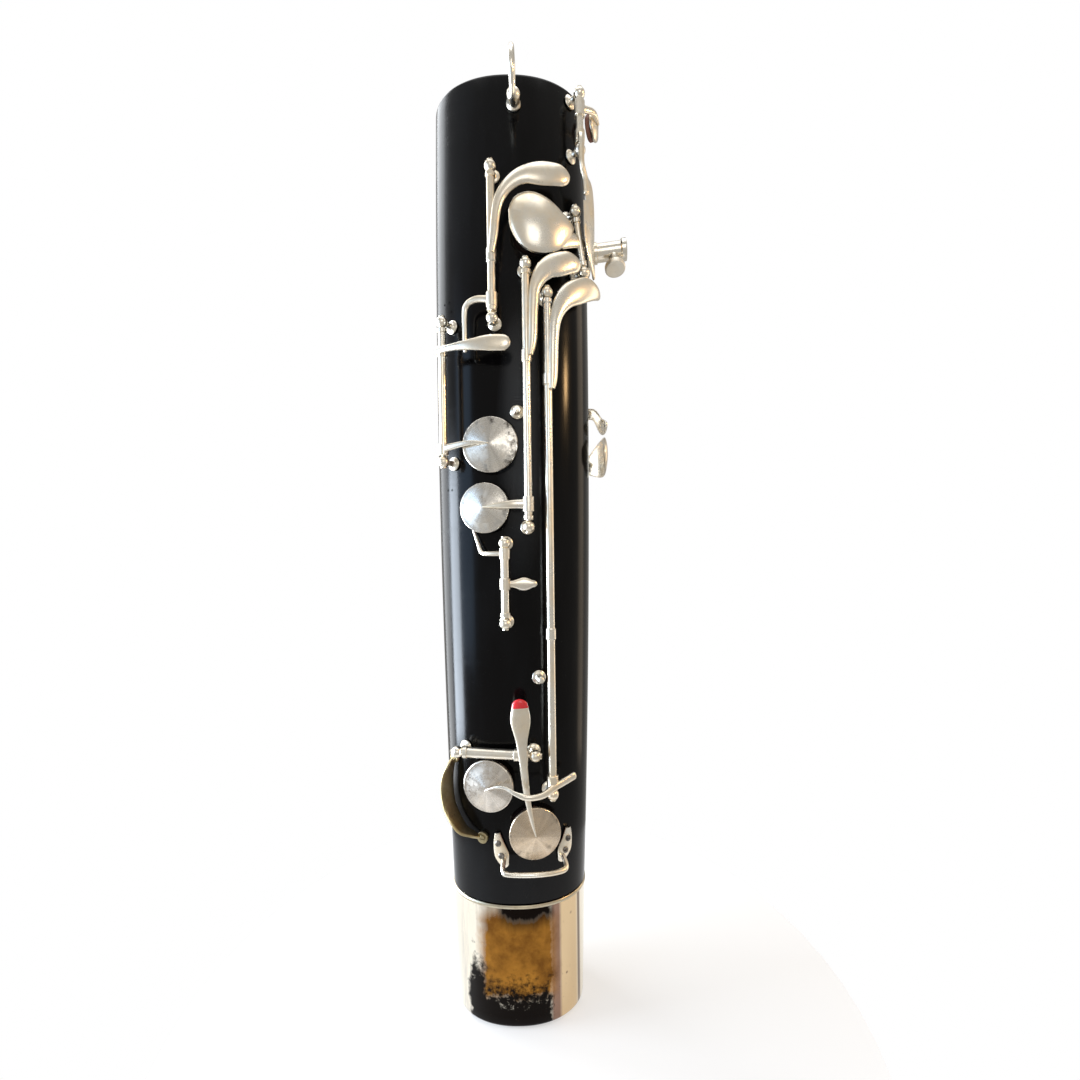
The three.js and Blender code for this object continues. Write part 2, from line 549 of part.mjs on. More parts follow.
function gsharpKey() {
  const top = thumb(14.9, 329.2, 6.7);
  const low = thumb(14.4, 109.9, 7.2);
  const turns = [turnAt(14.4, 109.9), turnAt(14.9, 329.2)];
  const tube = hinge(['gsharp_post_low', 'gsharp_post_high'], turns, low, top);
  middlePost('gsharp_post_middle', 10.9, 160.3);
  const touch = blade([[15.8, 287, 1.2], [16.4, 293, 1.7], [16.9, 310.6, 1.9], [18, 319.2, 2.3],
    [20.6, 325.8, 3.4], [24.6, 330.8, 4.9], [28.8, 334.6, 4.9], [32.4, 337.4, 2.2]], 6.4, 9.2, 18);
  const lowArm = bentRod([thumb(22.4, 116, 7), thumb(18, 114.6, 7.6), thumb(14.4, 113.6, 8.9),
    thumb(10, 111.6, 10.6), thumb(4.6, 111.4, 11.4), thumb(0.2, 112.8, 10), thumb(-3.6, 114.4, 8.2),
    thumb(-7.6, 114.1, 7.2), thumb(-12, 112, CUP_TOP + 1.1)], 1.15, 22);
  const dish = cup(SEATS[3].turn, SEATS[3].z, 11.6);
  const collar = collarOn(low, top, 5.6, 2.5);
  const shape = joined(tube, touch, lowArm, dish, collar).subtract(pivotHoles(low, top));
  put('gsharp_thumb_key', shape, 'silver');
  pad('gsharp_pad', SEATS[3].turn, SEATS[3].z, 10.4);
}

function collarOn(low, high, length, radius) {
  const up = new THREE.Vector3().subVectors(high, low).normalize();
  const from = low.clone().addScaledVector(up, BALL + GAP);
  return rodBetween(from, from.clone().addScaledVector(up, length), radius, 12);
}

function redTipKey() {
  const left = thumb(-22.4, 127.5, KEY_HEIGHT);
  const right = thumb(8.1, 127.5, KEY_HEIGHT);
  const turns = [turnAt(-22.4, 127.5), turnAt(8.1, 127.5)];
  const tube = hinge(['red_tip_post_left', 'red_tip_post_right'], turns, left, right, 2.2);
  const touch = blade([[3.6, 124, 1.6], [2.9, 134, 2.2], [2.5, 143, 3.8], [2.3, 149.4, 3.0], [2.2, 152, 1.4]],
    7.2, 9.2, 12);
  const arm = bentRod([thumb(3.2, 129, 7.6), thumb(3.8, 120, 6.9), thumb(4.8, 109, 5.7),
    thumb(6.4, 99, 5.5), thumb(8.0, 91.4, CUP_TOP + 1.1)], 1.1, 12);
  const dish = cup(SEATS[4].turn, SEATS[4].z, 11.6);
  const shape = joined(tube, touch, arm, dish).subtract(pivotHoles(left, right));
  put('red_tip_key', shape, 'silver');
  pad('red_tip_pad', SEATS[4].turn, SEATS[4].z, 10.4);
}

function sideKey() {
  const top = thumb(28.4, 424.2, 6.5);
  const low = new THREE.Vector3(top.x, top.y, 398.6);
  const turns = [turnAt(28.4, 398.6), turnAt(28.4, 424.2)];
  const tube = hinge(['side_key_post_low', 'side_key_post_high'], turns, low, top);
  const toTurn = (x) => 57.25 + x;
  const leaf = blade([[-8.5, 386, 1.4], [-6, 383, 4.2], [0, 377, 10.5], [0.5, 368, 11], [-1, 359, 9.2],
    [1.5, 349.5, 6], [5, 343.6, 1.2]], 6.9, 8.3, 16, toTurn, -0.195);
  const beside = (x, y, z) => new THREE.Vector3(top.x + x, top.y + y, z);
  const stem = bentRod([beside(0, -0.5, 405), beside(0.2, -3.9, 402), beside(0.3, -4.3, 396),
    beside(0.4, -4.3, 389), skin(49.5, 384, 9.1), skin(50.5, 378, 8.9)], 1.2, 12);
  const { turn, z } = SIDE_DISH;
  const arm = bentRod([new THREE.Vector3(top.x, top.y, 417.6), skin(62, 419.4, 8.8),
    skin(turn, z, 8)], 1.2, 6);
  const dish = lathe([[0, 5.4], [6, 5.4], [6, 6.6], [0, 8.4]], 16).applyMatrix4(skinFrame(turn, z));
  const collar = rod(2.5, 413.6, 420.6, 12).translate(top.x, top.y, 0);
  put('side_key', joined(tube, leaf, stem, arm, dish, collar).subtract(pivotHoles(low, top)), 'silver');
  put('side_pad', rod(5.4, 3.0, 5.1, 14).applyMatrix4(skinFrame(turn, z)), 'leather');
}

// Finger-side keys
const FINGER_TURN = 128;

function littleFingerKeys() {
  const high = skin(FINGER_TURN, 336, 6);
  const middle = new THREE.Vector3(high.x, high.y, 281.5);
  const low = new THREE.Vector3(high.x, high.y, 158);
  const up = new THREE.Vector3(0, 0, 1);
  const down = new THREE.Vector3(0, 0, -1);
  ballPost('little_finger_post_low', FINGER_TURN, low, [up]);
  ballPost('little_finger_post_middle', FINGER_TURN, middle, [up, down]);
  ballPost('little_finger_post_high', FINGER_TURN, high, [down]);
  const reach = BALL + GAP;
  const from = (centre, way) => centre.clone().addScaledVector(way, reach);
  const upperTube = hingeTube(from(middle, up), from(high, down));
  const lowerTube = hingeTube(from(low, up), from(middle, down));
  const toTurn = (x) => 90 + x;
  const spoon = blade([[30, 262, 5], [16, 263.5, 9], [2, 264, 9.5], [-10, 264, 5]], 7.2, 9.2, 10, toTurn);
  const wedge = blade([[30, 290, 3], [22, 288, 3], [12, 281, 4], [2, 278.6, 3.6], [-8, 278.2, 1.6]],
    7.2, 9.2, 10, toTurn);
  const spoonRoot = bentRod([new THREE.Vector3(high.x, high.y, 262), skin(116, 262, 8.2)], 1.6, 2);
  const wedgeRoot = bentRod([new THREE.Vector3(high.x, high.y, 290), skin(117, 290, 8.2)], 1.6, 2);
  const lowArm = bentRod([new THREE.Vector3(high.x, high.y, 172), skin(146, 172, 7.4),
    skin(164, 172, CUP_TOP + 1.1)], 1.2, 6);
  const highArm = bentRod([new THREE.Vector3(high.x, high.y, 318), skin(144, 318, 7.4),
    skin(158, 318, CUP_TOP + 1.1)], 1.2, 6);
  const lowKey = joined(lowerTube, spoon, spoonRoot, lowArm, cup(164, 172, 12));
  const highKey = joined(upperTube, wedge, wedgeRoot, highArm, cup(158, 318, 9));
  put('low_f_key', lowKey.subtract(pivotHoles(low, middle)), 'silver');
  put('aflat_key', highKey.subtract(pivotHoles(middle, high)), 'silver');
  pad('low_f_pad', 164, 172, 10.8);
  pad('aflat_pad', 158, 318, 7.8);
}

function fingerPlate() {
  const top = skin(222, 245, 6);
  const low = new THREE.Vector3(top.x, top.y, 211);
  const tube = hinge(['g_plate_post_low', 'g_plate_post_high'], [222, 222], low, top);
  const arm = bentRod([new THREE.Vector3(top.x, top.y, 228), skin(203, 228, 8.4),
    skin(186, 228, OPEN_LIFT + CUP_TOP + 1.1)], 1.2, 6);
  const shape = joined(tube, arm, cup(184, 228, 10, OPEN_LIFT)).subtract(pivotHoles(low, top));
  put('g_plate_key', shape, 'silver');
  pad('g_plate_pad', 184, 228, 8.8, OPEN_LIFT);
}

bootBody();
socketLiner('bass_socket_liner', BASS_X, BASS_SOCKET);
socketLiner('wing_socket_liner', WING_X, WING_SOCKET);
bootCap();
uTube();
strapRing();
handRest();
guards();
bflatLever();
bflatPadKey();
lowEPlate();
fsharpKey();
linkLever();
gsharpKey();
redTipKey();
sideKey();
littleFingerKeys();
fingerPlate();

export default boot;
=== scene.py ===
"""Bassoon boot joint: the looks of every piece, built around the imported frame."""
import math

import bmesh
import bpy
from bpy.props import FloatProperty, FloatVectorProperty, PointerProperty
from mathutils import Matrix, Vector


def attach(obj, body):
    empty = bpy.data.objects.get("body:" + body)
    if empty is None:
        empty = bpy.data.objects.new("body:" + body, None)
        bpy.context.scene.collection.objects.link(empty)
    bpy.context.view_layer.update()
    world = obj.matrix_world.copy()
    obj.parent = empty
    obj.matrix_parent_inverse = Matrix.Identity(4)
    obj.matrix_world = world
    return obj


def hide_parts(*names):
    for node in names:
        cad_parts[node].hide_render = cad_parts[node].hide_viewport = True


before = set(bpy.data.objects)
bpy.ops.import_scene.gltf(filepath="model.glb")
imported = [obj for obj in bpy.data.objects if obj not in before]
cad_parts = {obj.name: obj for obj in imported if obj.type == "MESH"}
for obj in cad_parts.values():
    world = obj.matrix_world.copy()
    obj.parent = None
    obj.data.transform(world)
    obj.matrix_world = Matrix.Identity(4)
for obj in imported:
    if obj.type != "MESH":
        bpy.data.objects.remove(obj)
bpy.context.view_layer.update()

bl_info = {
    "name": "Bassoon Boot Joint",
    "version": (1, 0, 0),
    "blender": (4, 5, 0),
    "location": "View3D > Sidebar > Boot Joint",
    "description": "Builds the body, cap, keywork and stage of a bassoon boot joint",
    "category": "Add Mesh",
}

# Lengths are in millimetres until a piece is finished, and metres after that.
MM = 0.001
LENGTH = 430.0
CAP_HEIGHT = 56.6
HALF_WIDTH = 37.3
WIDEST_AT = 320.0
TAPER = 7.3e-5
CAP_LEAN = 0.026
CAP_WALL = 1.6
CAP_SHOULDER = 41.0
DEPTH_RATIO = 0.75
SECTION_POWER = 2.15
GAP = 0.3

BASS_X, WING_X = -17.2, 19.2
BASS_SOCKET = (16.0, 42.0)
WING_SOCKET = (13.2, 34.0)
LINER_WALL = 0.9

PAD_THICKNESS = 2.4
SEAT_DROP = 0.9
PAD_BASE = GAP - SEAT_DROP
CUP_BASE = PAD_THICKNESS - SEAT_DROP + 2 * GAP
CUP_TOP = CUP_BASE + 4.2
OPEN_LIFT = 3.2
KEY_HEIGHT = 7.0
FINGER_TURN = 128.0


# ---- The outline of the body -------------------------------------------------------------

def half_width(z):
    body = HALF_WIDTH - TAPER * (max(z, CAP_HEIGHT) - WIDEST_AT) ** 2
    return body - CAP_LEAN * max(0.0, CAP_HEIGHT - z)


def power(value, exponent):
    return math.copysign(abs(value) ** exponent, value)


def normal_at(turn, z):
    a = half_width(z)
    lean = 2 - 2 / SECTION_POWER
    x = power(math.sin(math.radians(turn)), lean) / a
    y = -power(math.cos(math.radians(turn)), lean) / (a * DEPTH_RATIO)
    return Vector((x, y, 0)).normalized()


def skin(turn, z, height=0.0, inset=0.0):
    """A point above the skin; turn is 0 at the thumb side, 90 at +X, 180 at the finger side."""
    a = half_width(z) - inset
    b = half_width(z) * DEPTH_RATIO - inset
    x = a * power(math.sin(math.radians(turn)), 2 / SECTION_POWER)
    y = -b * power(math.cos(math.radians(turn)), 2 / SECTION_POWER)
    return Vector((x, y, z)) + normal_at(turn, z) * height


def turn_at(x, z):
    share = min(0.9999, abs(x) / half_width(z))
    return math.copysign(math.degrees(math.asin(share ** (SECTION_POWER / 2))), x)


def thumb(x, z, height):
    return skin(turn_at(x, z), z, height)


def skin_frame(turn, z):
    """A frame whose Z stands on the skin and whose Y runs up the body."""
    out = normal_at(turn, z)
    side = Vector((0, 0, 1)).cross(out)
    return frame_from(side, Vector((0, 0, 1)), out, skin(turn, z))


def frame_from(x, y, z, origin):
    matrix = Matrix((x, y, z)).transposed().to_4x4()
    matrix.translation = origin
    return matrix


def frame_along(origin, along, hint=Vector((0, -1, 0))):
    """A frame whose Z points along a direction."""
    z = along.normalized()
    if abs(z.dot(hint)) > 0.98:
        hint = Vector((0, 0, 1))
    x = hint.cross(z).normalized()
    return frame_from(x, z.cross(x), z, origin)


# How much browner a cup is than the cleanest ones
CUP_TONES = {"red_tip": (0.92, 0.80, 0.67), "gsharp": (0.98, 0.95, 0.93)}

# Pad seats: turn, height, seat radius, tone hole radius, the bore that it opens
SEATS = {
    "bflat": (turn_at(-8.7, 263.9), 263.9, 13.2, 6.5, BASS_X),
    "fsharp": (turn_at(-11.4, 236.1), 236.1, 12.0, 6.0, BASS_X),
    "low_e": (turn_at(11.5, 361), 361.0, 12.6, 7.0, WING_X),
    "gsharp": (turn_at(-11.4, 112.4), 112.4, 12.4, 6.0, BASS_X),
    "red_tip": (turn_at(8.0, 91.1), 91.1, 12.4, 5.5, WING_X),
    "side": (72.0, 418.6, 7.0, 3.0, WING_X),
    "low_f": (164.0, 172.0, 12.8, 6.5, WING_X),
    "aflat": (158.0, 318.0, 9.8, 4.5, WING_X),
    "g_plate": (184.0, 228.0, 10.8, 5.0, WING_X),
}
FINGER_HOLES = ((176.0, 300.0), (176.0, 262.0))
OLD_SCREW_HOLES = ((-28.1, 331.9), (-30.7, 331.9), (-27.0, 327.3), (-28.0, 245.4), (-30.2, 245.5))


# ---- Mesh making --------------------------------------------------------------------------

class Work:
    """One piece under construction: closed shells gathered in one bmesh, in millimetres."""

    def __init__(self):
        self.bm = bmesh.new()

    def take(self, part, matrix=None):
        if matrix is not None:
            bmesh.ops.transform(part, matrix=matrix, verts=part.verts)
        bmesh.ops.remove_doubles(part, verts=part.verts, dist=0.002)
        bmesh.ops.recalc_face_normals(part, faces=part.faces)
        holder = bpy.data.meshes.new("holder")
        part.to_mesh(holder)
        part.free()
        self.bm.from_mesh(holder)
        bpy.data.meshes.remove(holder)
        return self

    def finish(self, name, material, body, replaces=(), slot="key_metal", sharp=38.0):
        bmesh.ops.scale(self.bm, vec=(MM, MM, MM), verts=self.bm.verts)
        limit = math.radians(sharp)
        for edge in self.bm.edges:
            if len(edge.link_faces) == 2:
                edge.smooth = edge.calc_face_angle(0.0) < limit
        for face in self.bm.faces:
            face.smooth = True
        mesh = bpy.data.meshes.new(name)
        self.bm.to_mesh(mesh)
        self.bm.free()
        piece = bpy.data.objects.new(name, mesh)
        bpy.context.scene.collection.objects.link(piece)
        mesh.materials.append(material)
        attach(piece, body)
        if replaces:
            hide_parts(*replaces)
        return piece


def turned(profile, steps=48):
    """A turned shape: the profile is (radius, height) points spun about Z."""
    bm = bmesh.new()
    verts = [bm.verts.new((radius, 0, height)) for radius, height in profile]
    edges = [bm.edges.new(pair) for pair in zip(verts, verts[1:])]
    bmesh.ops.spin(bm, geom=verts + edges, cent=(0, 0, 0), axis=(0, 0, 1), dvec=(0, 0, 0),
                   angle=math.tau, steps=steps, use_merge=True, use_duplicate=False)
    bmesh.ops.remove_doubles(bm, verts=bm.verts, dist=0.001)
    return bm


def arc(centre_r, centre_z, radius, start, end, steps=6):
    """Points on a round of a turned profile, angles from +radius towards +height."""
    points = []
    for i in range(steps + 1):
        angle = math.radians(start + (end - start) * i / steps)
        points.append((centre_r + radius * math.cos(angle), centre_z + radius * math.sin(angle)))
    return points


def loft(rows, closed_ends=True):
    """A skin over rows of points; each row is a ring with the same count."""
    bm = bmesh.new()
    ring = bmesh.ops.create_circle(bm, segments=len(rows[0]), radius=1)["verts"]
    ring.sort(key=lambda v: math.atan2(v.co.y, v.co.x) % math.tau)
    if closed_ends:
        bmesh.ops.contextual_create(bm, geom=ring)
    for vert, point in zip(ring, rows[0]):
        vert.co = point
    for row in rows[1:]:
        edges = [e for e in bm.edges if e.verts[0] in ring and e.verts[1] in ring]
        made = bmesh.ops.extrude_edge_only(bm, edges=edges)["geom"]
        fresh = {v for v in made if isinstance(v, bmesh.types.BMVert)}
        following = []
        for vert in ring:
            following.append(next(e.other_vert(vert) for e in vert.link_edges if e.other_vert(vert) in fresh))
        ring = following
        for vert, point in zip(ring, row):
            vert.co = point
    if closed_ends:
        bmesh.ops.contextual_create(bm, geom=ring)
    bmesh.ops.recalc_face_normals(bm, faces=bm.faces)
    return bm


def spline(points, pieces):
    """Catmull-Rom through tuples of numbers."""
    rows = [points[0]] + list(points) + [points[-1]]
    result = []
    spans = len(points) - 1
    for i in range(pieces + 1):
        at = min(i / pieces * spans, spans - 1e-9)
        k, t = int(at), at - int(at)
        p0, p1, p2, p3 = rows[k], rows[k + 1], rows[k + 2], rows[k + 3]
        result.append(tuple(
            0.5 * (2 * b + (c - a) * t + (2 * a - 5 * b + 4 * c - d) * t * t
                   + (3 * b - a - 3 * c + d) * t ** 3)
            for a, b, c, d in zip(p0, p1, p2, p3)))
    return result


def bar(stations, pieces=24, sides=14, squareness=2.4, nose=True):
    """A bar along 3-D stations (x, y, z, half width, half thickness) that keeps its face outwards."""
    track = spline(stations, pieces)
    centres = [Vector(s[:3]) for s in track]
    rows = []
    for i, s in enumerate(track):
        ahead = (centres[min(i + 1, pieces)] - centres[max(i - 1, 0)]).normalized()
        out = Vector((s[0], s[1] / DEPTH_RATIO ** 2, 0)).normalized()
        out = (out - ahead * out.dot(ahead)).normalized()
        side = ahead.cross(out)
        rows.append([centres[i] + side * (s[3] * power(math.cos(a), 2 / squareness))
                     + out * (s[4] * power(math.sin(a), 2 / squareness)) for a in ring_angles(sides)])
    return loft(rounded_ends(rows) if nose else rows)


def ring_angles(sides):
    return [math.tau * i / sides for i in range(sides)]


def rounded_ends(rows):
    """Adds a short rounded cap beyond the first and the last ring."""
    return nose_rows(rows[0], rows[1])[::-1] + rows + nose_rows(rows[-1], rows[-2])


def nose_rows(row, before, steps=4):
    centre = sum(row, Vector()) / len(row)
    inner = sum(before, Vector()) / len(before)
    reach = min((point - centre).length for point in row)
    ahead = (centre - inner).normalized() * reach
    rows = []
    for i in range(1, steps + 1):
        angle = math.pi / 2 * i / steps
        shrink = max(0.04, math.cos(angle))
        rows.append([centre + (point - centre) * shrink + ahead * math.sin(angle) for point in row])
    return rows


TIP_STEPS = 7


def blade(stations, low, high, place=thumb, pieces=40, sides=22, tip=True):
    """A domed touch that follows the skin: stations are (across, z, half width)."""
    track = spline(stations, pieces)
    rows = []
    for i, (x, z, width) in enumerate(track):
        before, after = track[max(i - 1, 0)], track[min(i + 1, pieces)]
        ahead = Vector((after[0] - before[0], after[1] - before[1])).normalized()
        rows.append(blade_row(x, z, width, ahead, low, high, place, sides))
    if tip:
        x, z, width = track[-1]
        ahead = Vector((x - track[-2][0], z - track[-2][1])).normalized()
        for i in range(1, TIP_STEPS + 1):
            angle = math.pi / 2 * i / TIP_STEPS
            step = ahead * width * 0.95 * math.sin(angle)
            size = max(0.03, math.cos(angle))
            half = (high - low) / 2 * (1 - size ** 0.7)
            rows.append(blade_row(x + step.x, z + step.y, width * size, ahead, low + half * 0.7, high - half,
                                  place, sides))
    return loft(rows)


def blade_row(x, z, width, ahead, low, high, place, sides):
    middle = (low + high) / 2
    half = (high - low) / 2
    row = []
    for a in ring_angles(sides):
        across = math.cos(a) * width
        rise = math.sin(a)
        lift = half * rise * (1.15 if rise > 0 else 0.7)
        row.append(place(x - ahead.y * across, z + ahead.x * across, middle + lift))
    return row


def by_turn(centre_turn, lean=0.0):
    """Places a blade on the side of the body: across is degrees of turn, and lean adds height with it."""
    return lambda across, z, height: skin(centre_turn + across, z, height + lean * across)


# ---- Shader writing -----------------------------------------------------------------------

class Wire:
    """One socket of a material's node tree, with arithmetic."""

    def __init__(self, finish, socket):
        self.finish = finish
        self.socket = socket

    def maths(self, operation, other=0.0, clamp=False):
        node = self.finish.add("ShaderNodeMath", {"operation": operation, "use_clamp": clamp},
                               {0: self, 1: other})
        return node.out(0)

    def __add__(self, other):
        return self.maths("ADD", other)

    __radd__ = __add__

    def __sub__(self, other):
        return self.maths("SUBTRACT", other)

    def __rsub__(self, other):
        return (self * -1.0) + other

    def __mul__(self, other):
        return self.maths("MULTIPLY", other)

    __rmul__ = __mul__

    def __pow__(self, other):
        return self.maths("POWER", other)

    def clipped(self):
        return self.maths("ADD", 0.0, clamp=True)


class Added:
    """A node just added, with its outputs by index or name."""

    def __init__(self, finish, node):
        self.finish = finish
        self.node = node

    def out(self, key):
        return Wire(self.finish, self.node.outputs[key])


class Finish:
    """A material under construction."""

    def __init__(self, name, **constants):
        self.material = bpy.data.materials.new(name)
        self.material.use_nodes = True
        self.tree = self.material.node_tree
        self.shader = self.tree.nodes["Principled BSDF"]
        self.place = self.add("ShaderNodeTexCoord", {}, {}).out("Object")
        for key, value in constants.items():
            self.shader.inputs[key.replace("_", " ")].default_value = value

    def add(self, kind, settings, values):
        node = self.tree.nodes.new(kind)
        for key, value in settings.items():
            if key == "stops":
                self.set_stops(node.color_ramp, value)
            else:
                setattr(node, key, value)
        for key, value in values.items():
            if isinstance(value, Wire):
                self.tree.links.new(value.socket, node.inputs[key])
            else:
                node.inputs[key].default_value = value
        return Added(self, node)

    def set_stops(self, ramp, stops):
        while len(ramp.elements) < len(stops):
            ramp.elements.new(0.5)
        for element, (position, tone) in zip(ramp.elements, stops):
            element.position = position
            element.color = tone

    def mapped(self, where, **values):
        return self.add("ShaderNodeMapping", {"vector_type": "POINT"}, {"Vector": where, **values}).out(0)

    def spot(self, centre, **then):
        """Object coordinates moved so that a point in metres is the origin, then scaled or turned."""
        return self.mapped(self.mapped(self.place, Location=tuple(-c for c in centre)), **then)

    def noise(self, scale, detail=4.0, rough=0.55, place=None, stretch=None):
        where = place or self.place
        if stretch:
            where = self.mapped(where, Scale=stretch)
        return self.add("ShaderNodeTexNoise", {"noise_dimensions": "3D"},
                        {"Vector": where, "Scale": scale, "Detail": detail, "Roughness": rough}).out(0)

    def wave(self, along, scale, **values):
        """Noise along one value."""
        return self.add("ShaderNodeTexNoise", {"noise_dimensions": "1D"},
                        {"W": along, "Scale": scale, **values}).out(0)

    def cells(self, scale, place=None):
        return self.add("ShaderNodeTexVoronoi", {"feature": "F1"},
                        {"Vector": place or self.place, "Scale": scale}).out(0)

    def rise(self, value, low, high, levels=(0, 1)):
        """0 below one value and 1 above another, straight between them."""
        grey = [(at, (level, level, level, 1)) for at, level in zip((low, high), levels)]
        return self.add("ShaderNodeValToRGB", {"stops": grey}, {"Fac": value}).out(0)

    def fall(self, value, low, high):
        return self.rise(value, low, high, (1, 0))

    def mix(self, factor, first, second):
        values = {0: factor, 6: colour(first), 7: colour(second)}
        return self.add("ShaderNodeMix", {"data_type": "RGBA", "blend_type": "MIX"}, values).out(2)

    def split(self, place):
        node = self.add("ShaderNodeSeparateXYZ", {}, {0: place})
        return node.out(0), node.out(1), node.out(2)

    def near(self, centre, scale):
        """1 at a point in metres, falling to 0 at the edge of an ellipsoid of these half sizes."""
        where = self.spot(centre, Scale=tuple(1 / s for s in scale))
        far = self.add("ShaderNodeVectorMath", {"operation": "LENGTH"}, {0: where}).out("Value")
        return (1.0 - far).clipped()

    def bump(self, height, strength, distance):
        return self.add("ShaderNodeBump", {}, {"Height": height, "Strength": strength,
                                               "Distance": distance}).out(0)

    def done(self, base, rough, normal, metallic=0.0):
        for key, wire in (("Base Color", base), ("Roughness", rough), ("Normal", normal)):
            self.tree.links.new(wire.socket, self.shader.inputs[key])
        self.shader.inputs["Metallic"].default_value = metallic
        return self.material


def colour(value):
    return value if isinstance(value, Wire) else (*value, 1.0)


def dyed(tint, *shares):
    """A colour with each channel scaled."""
    return tuple(channel * share for channel, share in zip(tint, shares))


def polished_rubber(look):
    """Black hard rubber: glossy, finely scratched, duller where hands and cloths have rubbed, with a soft
    bluish-grey reflection painted on the thumb side around the cups.
    """
    f = Finish("polished black rubber", IOR=1.3, Specular_IOR_Level=0.32)
    wear = f.rise(f.noise(14, 5, 0.6, stretch=(1.6, 1.6, 0.35)), 0.42, 0.75)
    hairs = f.rise(f.noise(240, 3, 0.7, stretch=(1.0, 1.0, 0.03)), 0.55, 0.72)
    cross = f.rise(f.noise(160, 3, 0.7, stretch=(0.06, 0.06, 1.0)), 0.6, 0.75)
    dust = f.fall(f.cells(900), 0.05, 0.13) * f.rise(f.noise(60, 2), 0.5, 0.62)
    brown = f.rise(f.noise(5, 3, 0.5, stretch=(1, 1, 0.3)), 0.4, 0.8)
    # Painted reflection: a soft bluish-grey patch in the middle of the thumb side stands in for a window's
    # sheen; it also raises the roughness there.
    painted_sheen = f.near((0.004, -0.028, 0.262), (0.011, 0.03, 0.062)) ** 0.8
    base = f.mix(brown * 0.8, look.rubber_colour, look.rubber_brown)
    # The bluish grey is real wear where the wear mask rises, and painted reflection in the patch around the
    # cups.
    base = f.mix((wear * 0.25 + painted_sheen * 0.75).clipped(), base, (0.020, 0.022, 0.025))
    base = f.mix(dust * 0.35, base, (0.05, 0.047, 0.044))
    rough = wear * 0.10 + hairs * 0.05 + cross * 0.05 + painted_sheen * 0.16 + look.rubber_roughness
    grain = f.noise(380, 2, 0.5) * 0.35 + hairs * 0.4 + cross * 0.3
    return f.done(base, rough, f.bump(grain, 0.12, 0.00004))


def nickel_silver(name, tint, rough, tarnish=0.5, warm=0.5, seed=0.0):
    """Worn nickel silver: a satin ground, rubbed bright, with warm and dark stains."""
    f = Finish(name)
    shifted = f.spot((seed, seed * 0.7, -seed))
    cloud = f.noise(55, 5, 0.6, place=shifted)
    stain = f.rise(f.noise(150, 6, 0.68, place=shifted), 0.5, 0.72)
    specks = f.fall(f.cells(620, place=shifted), 0.06, 0.16) * f.rise(cloud, 0.5, 0.6)
    scratch_a = f.rise(f.noise(520, 2, 0.6, place=shifted, stretch=(1, 1, 0.05)), 0.56, 0.70)
    scratch_b = f.rise(f.noise(480, 2, 0.6, place=shifted, stretch=(0.05, 1, 1)), 0.58, 0.72)
    base = f.mix(f.rise(cloud, 0.42, 0.7) * warm, tint, dyed(tint, 1.02, 0.86, 0.62))
    base = f.mix(stain * (0.55 * tarnish), base, dyed(tint, 0.42, 0.36, 0.28))
    base = f.mix((specks * tarnish).clipped(), base, (0.10, 0.08, 0.06))
    level = f.rise(cloud, 0.3, 0.75) * 0.10 + stain * (0.16 * tarnish) + rough
    level = level + specks * 0.2 + (scratch_a + scratch_b) * 0.05
    height = (scratch_a + scratch_b) * -0.5 + f.noise(900, 2, 0.6, place=shifted) * 0.4 - specks * 0.6
    return f.done(base, level, f.bump(height, 0.22, 0.00005), 1.0)


def turned_disc(name, centre, out, tint, rough, tarnish=0.6, seed=0.0):
    """A lathe-turned cup: fine rings about its own axis, pale and dark streaks along its radii painted in as
    the highlights of the turned surface, stains at the rim.
    """
    f = Finish(name)
    tilt = Vector(out).normalized().rotation_difference(Vector((0, 0, 1))).to_euler()
    x, y, _ = f.split(f.spot(centre, Rotation=tuple(tilt)))
    reach = (x * x + y * y) ** 0.5
    angle = y.maths("ARCTAN2", x)
    rings = f.wave(reach, 5200.0, Detail=3.0)
    # Painted highlights: these radial streaks make sectors of the base colour lighter and darker, standing in
    # for light glancing off the turned grooves.
    streaks = f.wave(angle + seed * 37.0, 2.3, Detail=3.0, Roughness=0.6)
    fine = f.wave(angle + seed * 11.0, 16.0, Detail=2.0)
    cloud = f.noise(70, 5, 0.62, place=f.spot((seed, -seed, seed)))
    rim = f.rise(reach * 90.0, 0.62, 1.0)
    stain = f.rise(f.noise(230, 6, 0.7, place=f.spot((seed, seed, 0))), 0.5, 0.66)
    pale = f.rise(streaks, 0.35, 0.65) * 0.55 + f.rise(fine, 0.4, 0.62) * 0.2
    # The pale sectors are painted highlight, and the darker ones are painted shade between them.
    base = f.mix(pale.clipped(), dyed(tint, 0.74, 0.74, 0.74), tint)
    base = f.mix((stain * (0.35 + rim * 0.9) * tarnish).clipped(), base, (0.10, 0.085, 0.07))
    base = f.mix(f.rise(cloud, 0.5, 0.8) * 0.4, base, dyed(tint, 1, 0.85, 0.62))
    level = rings * 0.14 + stain * 0.22 + f.rise(cloud, 0.3, 0.7) * 0.08 + rough
    return f.done(base, level, f.bump(rings * 0.8 + fine * 0.3 - stain * 0.4, 0.35, 0.00006), 1.0)


